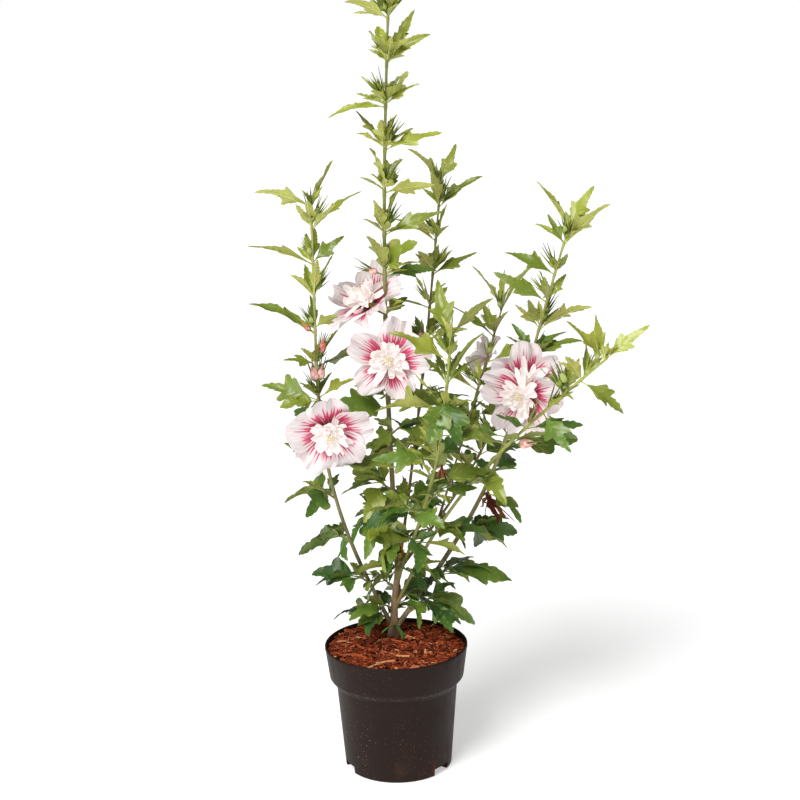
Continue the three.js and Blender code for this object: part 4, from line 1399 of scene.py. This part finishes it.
def trunk_radius(share):
    radius = taper(TRUNK["radius"], share)
    radius += TRUNK["flare"] * math.exp(-share * TRUNK["rise"] / TRUNK["flare_height"])
    return radius + sum(extra * math.exp(-((share - place) * 22) ** 2) for extra, place in TRUNK_KNOTS)


def shoot_radius(shoot, length, share):
    """A shoot's radius: its taper, thickened at each node and where it leaves its parent."""
    nodes = [shoot["first"] + k * shoot["gap"] for k in range(len(shoot["leaves"]))]
    nearest = min(abs(share - node / length) for node in nodes) * length
    radius = taper(shoot["radius"], share) + 0.7 * math.exp(-(nearest / 4) ** 2)
    return radius + 1.3 * math.exp(-share * length / 9)


def make_limbs(curves, trunk_finish, shoot_finishes):
    """The trunk and the shoots, each with the node that it stands for."""
    shares = np.linspace(0, 1, 60)
    path = [curves["trunk"].at(s) for s in shares]
    radii = [trunk_radius(s) for s in shares]
    pieces = [(make_limb("trunk_bark", path, radii, trunk_finish, 1.6, 22), "trunk")]
    for shoot in SHOOTS:
        name = shoot["name"]
        curve = curves[name]
        shares = np.linspace(0, 1, int(curve.length / 5))
        path = [curve.at(s) for s in shares]
        radii = [shoot_radius(shoot, curve.length, s) for s in shares]
        finish = shoot_finishes[SHOOT_BARKS.get(name, "brown")]
        pieces.append((make_limb("shoot_" + name, path, radii, finish, 0.5, 12), "bough_" + name))
    return pieces


# ---------- pot and soil ----------

def soil_height(x, y):
    towards_edge = min(1, math.hypot(x, y) / RIM_RADIUS)
    from_trunk = math.hypot(x - TRUNK["foot"][0], y - TRUNK["foot"][1])
    t = min(1, max(0, (from_trunk - SOIL_FLAT_RADIUS) / (2 * SOIL_FLAT_RADIUS)))
    rough = t * t * (3 - 2 * t)
    lumps = math.sin(x * 0.19 + 1) * math.cos(y * 0.23) + 0.5 * math.sin((x + y) * 0.41)
    return GROUND - SOIL_HEAP * rough * towards_edge ** 2 + SOIL_ROUGHNESS * rough * (lumps - 0.5)


POT_SIDES = 128
CORNER_WELD = 0.00002  # in metres


def turned_form(name, steps):
    """A round form raised from a disc: each step draws the last face up to (radius, height)."""
    alone()
    radius, height = steps[0]
    bpy.ops.mesh.primitive_circle_add(vertices=POT_SIDES, radius=radius * MM, fill_type="NGON",
                                      location=(0, 0, height * MM))
    piece = bpy.context.active_object
    piece.name = name
    bpy.ops.object.transform_apply(location=True, rotation=False, scale=False)
    bpy.ops.object.mode_set(mode="EDIT")
    bpy.ops.mesh.select_all(action="SELECT")
    for next_radius, next_height in steps[1:]:
        bpy.ops.mesh.extrude_region_move(
            TRANSFORM_OT_translate={"value": (0, 0, (next_height - height) * MM)})
        share = next_radius / radius
        bpy.ops.transform.resize(value=(share, share, 1), center_override=(0, 0, next_height * MM))
        radius, height = next_radius, next_height
    bpy.ops.mesh.select_all(action="SELECT")
    bpy.ops.mesh.normals_make_consistent(inside=False)
    bpy.ops.object.mode_set(mode="OBJECT")
    return piece


def channel_boxes(name, margin):
    """Three boxes, one in each drainage channel under the pot's edge and larger than it by a margin."""
    made = []
    length = CHANNEL["inward"] + margin + 30
    width = CHANNEL["width"] + 2 * margin
    for k in range(CHANNEL["count"]):
        alone()
        bpy.ops.mesh.primitive_cube_add(size=1, location=(0, 0, 0))
        box = bpy.context.active_object
        box.scale = (length * MM, width * MM, 2 * (CHANNEL["height"] + margin) * MM)
        bearing = math.radians(CHANNEL["first"] + 360 / CHANNEL["count"] * k)
        far = (BASE_RADIUS - CHANNEL["inward"] - margin + length / 2) * MM
        box.location = (far * math.cos(bearing), far * math.sin(bearing), 0)
        box.rotation_euler = (0, 0, bearing)
        made.append(box)
    choose(*made)
    bpy.ops.object.transform_apply(location=True, rotation=True, scale=True)
    bpy.ops.object.join()
    made[0].name = name
    return made[0]


def combine(piece, other, operation):
    choose(piece)
    modify(piece, "BOOLEAN", operation=operation, solver="EXACT", object=other)


def make_pot(finish):
    """The pot with its collar and rolled rim, walled round the three drainage channels."""
    neck = POT_HEIGHT - NECK_DEPTH
    collar = POT_HEIGHT - COLLAR_DEPTH
    outer = [
        (BASE_RADIUS - 1.2, 0), (BASE_RADIUS, 1.2), (NECK_RADIUS - 0.4, neck - 1.0),
        (NECK_RADIUS + 0.3, neck + 0.5), (COLLAR_FOOT_RADIUS - 0.9, collar - 0.9),
        (COLLAR_FOOT_RADIUS, collar + 0.5), (RIM_RADIUS - 0.5, POT_HEIGHT - 5),
        (RIM_RADIUS, POT_HEIGHT - 3.6), (RIM_RADIUS, POT_HEIGHT - 0.7), (RIM_RADIUS - 0.6, POT_HEIGHT),
    ]
    inner = [
        (RIM_RADIUS - POT_WALL - 0.4, POT_HEIGHT), (RIM_RADIUS - POT_WALL - 0.8, POT_HEIGHT - 0.7),
        (COLLAR_FOOT_RADIUS - POT_WALL, collar + POT_WALL * 0.4),
        (NECK_RADIUS - POT_WALL, neck + POT_WALL * 0.4), (BASE_RADIUS - POT_WALL, POT_FLOOR),
    ]
    pot = turned_form("nursery_pot", outer + inner)
    block = turned_form("pot_block", outer)
    pockets = channel_boxes("pocket_walls", POT_WALL)
    combine(pockets, block, "INTERSECT")
    combine(pot, pockets, "UNION")
    channels = channel_boxes("channel_cuts", 0)
    combine(pot, channels, "DIFFERENCE")
    for spare in (block, pockets, channels):
        bpy.data.objects.remove(spare, do_unlink=True)
    choose(pot)
    coat(pot, finish)
    bpy.ops.object.mode_set(mode="EDIT")
    bpy.ops.mesh.select_all(action="SELECT")
    bpy.ops.mesh.remove_doubles(threshold=CORNER_WELD)
    bpy.ops.mesh.normals_make_consistent(inside=False)
    bpy.ops.object.mode_set(mode="OBJECT")
    smooth_under(SMOOTH["pot"])
    return pot


# Chips that stand out on the mulch: place, bearing, half length, half width and which finish.
LARGE_CHIPS = [
    (-14, -64, 8, 13, 1.8, 4), (24, -79, 60, 6.5, 4.6, 5), (-52, -40, -30, 11, 1.3, 3),
    (46, -50, 24, 12, 1.4, 3), (8, -50, -20, 10, 1.2, 4), (62, -16, 70, 11, 1.6, 1),
    (-66, 2, 84, 12, 1.6, 3), (-30, -74, 34, 9, 1.4, 4), (20, 60, 12, 12, 1.6, 3),
    (-40, 52, -40, 10, 1.5, 4), (58, 34, -64, 11, 1.5, 0), (44, -64, -12, 8, 1.1, 4),
]
# The finishes of the chips, and up to which draw each of them is dealt.
# The darkest chips are dealt often, in part as painted shade in the gaps of the mulch.
CHIP_ODDS = dict(chip_red=0.34, chip_brown=0.60, chip_dark_and_gap_shade=0.79, chip_orange=0.955, chip_tan=0.985,
                 chip_pink=1.0)
STRINGY_SHARE = 0.84
CLEAR_OF_TRUNK = 13


def chip_slab():
    """The corners and faces of a slab two long, two wide and two thick, with a bend in it."""
    corners = np.array([(x, y, z) for x in (-1, -0.1, 1) for y in (-1, 1) for z in (-1, 1)], float)
    faces = [(0, 1, 3, 2), (8, 10, 11, 9)]
    for a in (0, 4):
        faces += [(a, a + 2, a + 6, a + 4), (a + 1, a + 5, a + 7, a + 3), (a, a + 4, a + 5, a + 1),
                  (a + 2, a + 3, a + 7, a + 6)]
    return corners, faces


def split_chip(corners, size, raggedness, draw):
    """A slab of a size with each corner moved a little at random."""
    moved = np.array([[spread(draw, 1) for _ in range(3)] for _ in corners])
    return corners * size + moved * raggedness


def make_chips(plain):
    """Shreds of bark strewn over the soil, each a thin split slab."""
    joined = Joined("bark_mulch", [plain[name] for name in CHIP_ODDS])
    draw = draws(SEEDS["mulch"])
    slab, faces = chip_slab()
    edge = COLLAR_FOOT_RADIUS + (RIM_RADIUS - COLLAR_FOOT_RADIUS) * 0.8 - POT_WALL
    for _ in range(CHIPS):
        stringy = draw() < STRINGY_SHARE
        long = (3 + 9 * draw() ** 1.6) if stringy else (2 + 4 * draw() ** 2)
        wide = (0.25 + 0.5 * draw() ** 1.5) if stringy else (1.2 + 2.0 * draw())
        thick = 0.3 + 0.7 * draw()
        out = (edge - min(long, 6)) * math.sqrt(draw())
        turn = FULL_TURN * draw()
        x, y = out * math.cos(turn), out * math.sin(turn)
        if math.hypot(x - TRUNK["foot"][0], y - TRUNK["foot"][1]) < CLEAR_OF_TRUNK:
            continue
        height = soil_height(x, y) - 0.6 + 3.4 * draw() ** 1.5
        points = split_chip(slab, (long, wide, thick), (long * 0.35, wide * 0.9, thick * 1.2), draw)
        yaw = ROUGH_TURN * draw()
        axis = pose(heading(math.degrees(yaw), spread(draw, 34)), spread(draw, 60))
        points = points @ axis.T + (x, y, height)
        outside = np.hypot(points[:, 0], points[:, 1])
        points[:, :2] *= np.minimum(1, (edge - 0.8) / np.maximum(outside, 1))[:, None]
        pick = draw()
        joined.add(points, faces, next(i for i, odd in enumerate(CHIP_ODDS.values()) if pick <= odd))
    for x, y, bearing, long, wide, kind in LARGE_CHIPS:
        points = split_chip(slab, (long, wide, 0.8), (long * 0.3, wide * 0.5, 0.7), draw)
        axis = pose(heading(bearing, 4), 8)
        joined.add(points @ axis.T + (x, y, soil_height(x, y) + 3.0), faces, kind)
    return joined.make(0)


# ---------- the whole shrub ----------

curves = grow()
plain = plain_finishes()
greens = green_finishes()
pieces = []


def keep(piece, slot, *nodes):
    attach(piece, "root")
    if nodes:
        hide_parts(*nodes)
    pieces.append(piece)


keep(make_pot(pot_plastic_finish()), "pot_plastic", "pot")
coat(frame["nodes"]["soil"], soil_finish())
keep(make_chips(plain), "soil")

trunk_bark = bark_finish("trunk_bark_grain", 167, 285, (134, 102, 74), (154, 122, 88), (160, 132, 94), 0.9)
shoot_barks = {
    "brown": bark_finish("brown_shoot_bark", 180, 800, (126, 112, 78), (126, 114, 68), (140, 146, 70), 0.4),
    "olive": bark_finish("olive_shoot_bark", 180, 720, (114, 102, 68), (148, 146, 88), (176, 182, 102), 0.4),
    "green": bark_finish("green_shoot_bark", 180, 620, (136, 132, 80), (154, 162, 76), (166, 178, 84), 0.4),
}
for piece, node in make_limbs(curves, trunk_bark, shoot_barks):
    keep(piece, "bark" if node == "trunk" else "shoot_bark", node)
for piece, nodes in make_leaves(greens):
    keep(piece, "foliage", *nodes)
keep(make_twigs(plain, curves), "shoot_bark")
keep(make_buds(plain), "foliage")
keep(make_wilted(plain), "foliage")
bloom_finishes = [petal_finish(), tuft_finish(), plain["heart_cream"], calyx_finish()]
for order, bloom in enumerate(BLOOMS):
    keep(make_bloom(order, bloom, bloom_finishes), "foliage")

print("leaves", len(leaves), "buds", len(buds))
print("triangles", sum(sum(len(p.vertices) - 2 for p in piece.data.polygons) for piece in pieces))


# ---------- floor, light and camera ----------

FLOOR_RADIUS = 30
FLOOR_BELOW = 0.0005
FLOOR_GLOW = 0.46
WORLD_LIGHT = 0.17
# The lights, all turned towards AIM: kind, name, place, spread in degrees or size in metres, and power.
LIGHTS = [
    ("SUN", "key", (-1.3, -2.2, 3.3), 30, 2.5),
    ("AREA", "fill", (2.2, -1.6, 1.0), 1.6, 4),
    ("AREA", "front", (-1.6, -2.1, 0.8), 1.6, 16),
]
AIM = (0, 0, 0.5)
CAMERA = dict(place=(0.0125, -1.9581, 0.9297), pitch=12.4, roll=1.3, lens=70, sensor=36)


def set_stage():
    alone()
    bpy.ops.mesh.primitive_circle_add(vertices=96, radius=FLOOR_RADIUS, fill_type="NGON",
                                      location=(0, 0, -FLOOR_BELOW))
    floor = bpy.context.active_object
    floor.name = "studio_floor"
    pale = Finish("pale_floor", (245, 245, 245), 0.9)
    pale.surface.inputs["Emission Color"].default_value = (1, 1, 1, 1)
    pale.surface.inputs["Emission Strength"].default_value = FLOOR_GLOW
    floor.data.materials.append(pale.material)


def set_world():
    """A white surround that lights less than it shows."""
    world = bpy.data.worlds.new("studio_white")
    world.use_nodes = True
    tree = world.node_tree
    seen = tree.nodes.new("ShaderNodeLightPath")
    power_range = tree.nodes.new("ShaderNodeMapRange")
    power_range.inputs["To Min"].default_value = WORLD_LIGHT
    power_range.inputs["To Max"].default_value = 1.0
    tree.links.new(seen.outputs["Is Camera Ray"], power_range.inputs["Value"])
    tree.nodes["Background"].inputs[0].default_value = (1, 1, 1, 1)
    tree.links.new(power_range.outputs[0], tree.nodes["Background"].inputs[1])
    bpy.context.scene.world = world


def set_lights():
    for kind, name, place, size, power in LIGHTS:
        light = bpy.data.lights.new(name, kind)
        light.energy = power
        if kind == "SUN":
            light.angle = math.radians(size)
        else:
            light.size = size
        lamp = placed(name, light)
        lamp.location = place
        lamp.rotation_euler = (Vector(AIM) - Vector(place)).to_track_quat("-Z", "Y").to_euler()


def set_camera():
    pitch, roll = math.radians(CAMERA["pitch"]), math.radians(CAMERA["roll"])
    forward = Vector((0, math.cos(pitch), -math.sin(pitch)))
    rise = Vector((0, math.sin(pitch), math.cos(pitch)))
    level = Vector((1, 0, 0))
    right = level * math.cos(roll) - rise * math.sin(roll)
    up = level * math.sin(roll) + rise * math.cos(roll)
    seen = bpy.data.cameras.new("camera")
    seen.lens = CAMERA["lens"]
    seen.sensor_width = CAMERA["sensor"]
    camera = placed("camera", seen)
    turned = Matrix((right, up, -forward)).transposed().to_4x4()
    camera.matrix_world = Matrix.Translation(CAMERA["place"]) @ turned
    bpy.context.scene.camera = camera


set_stage()
set_world()
set_lights()
set_camera()
bpy.context.scene.view_settings.view_transform = "Standard"
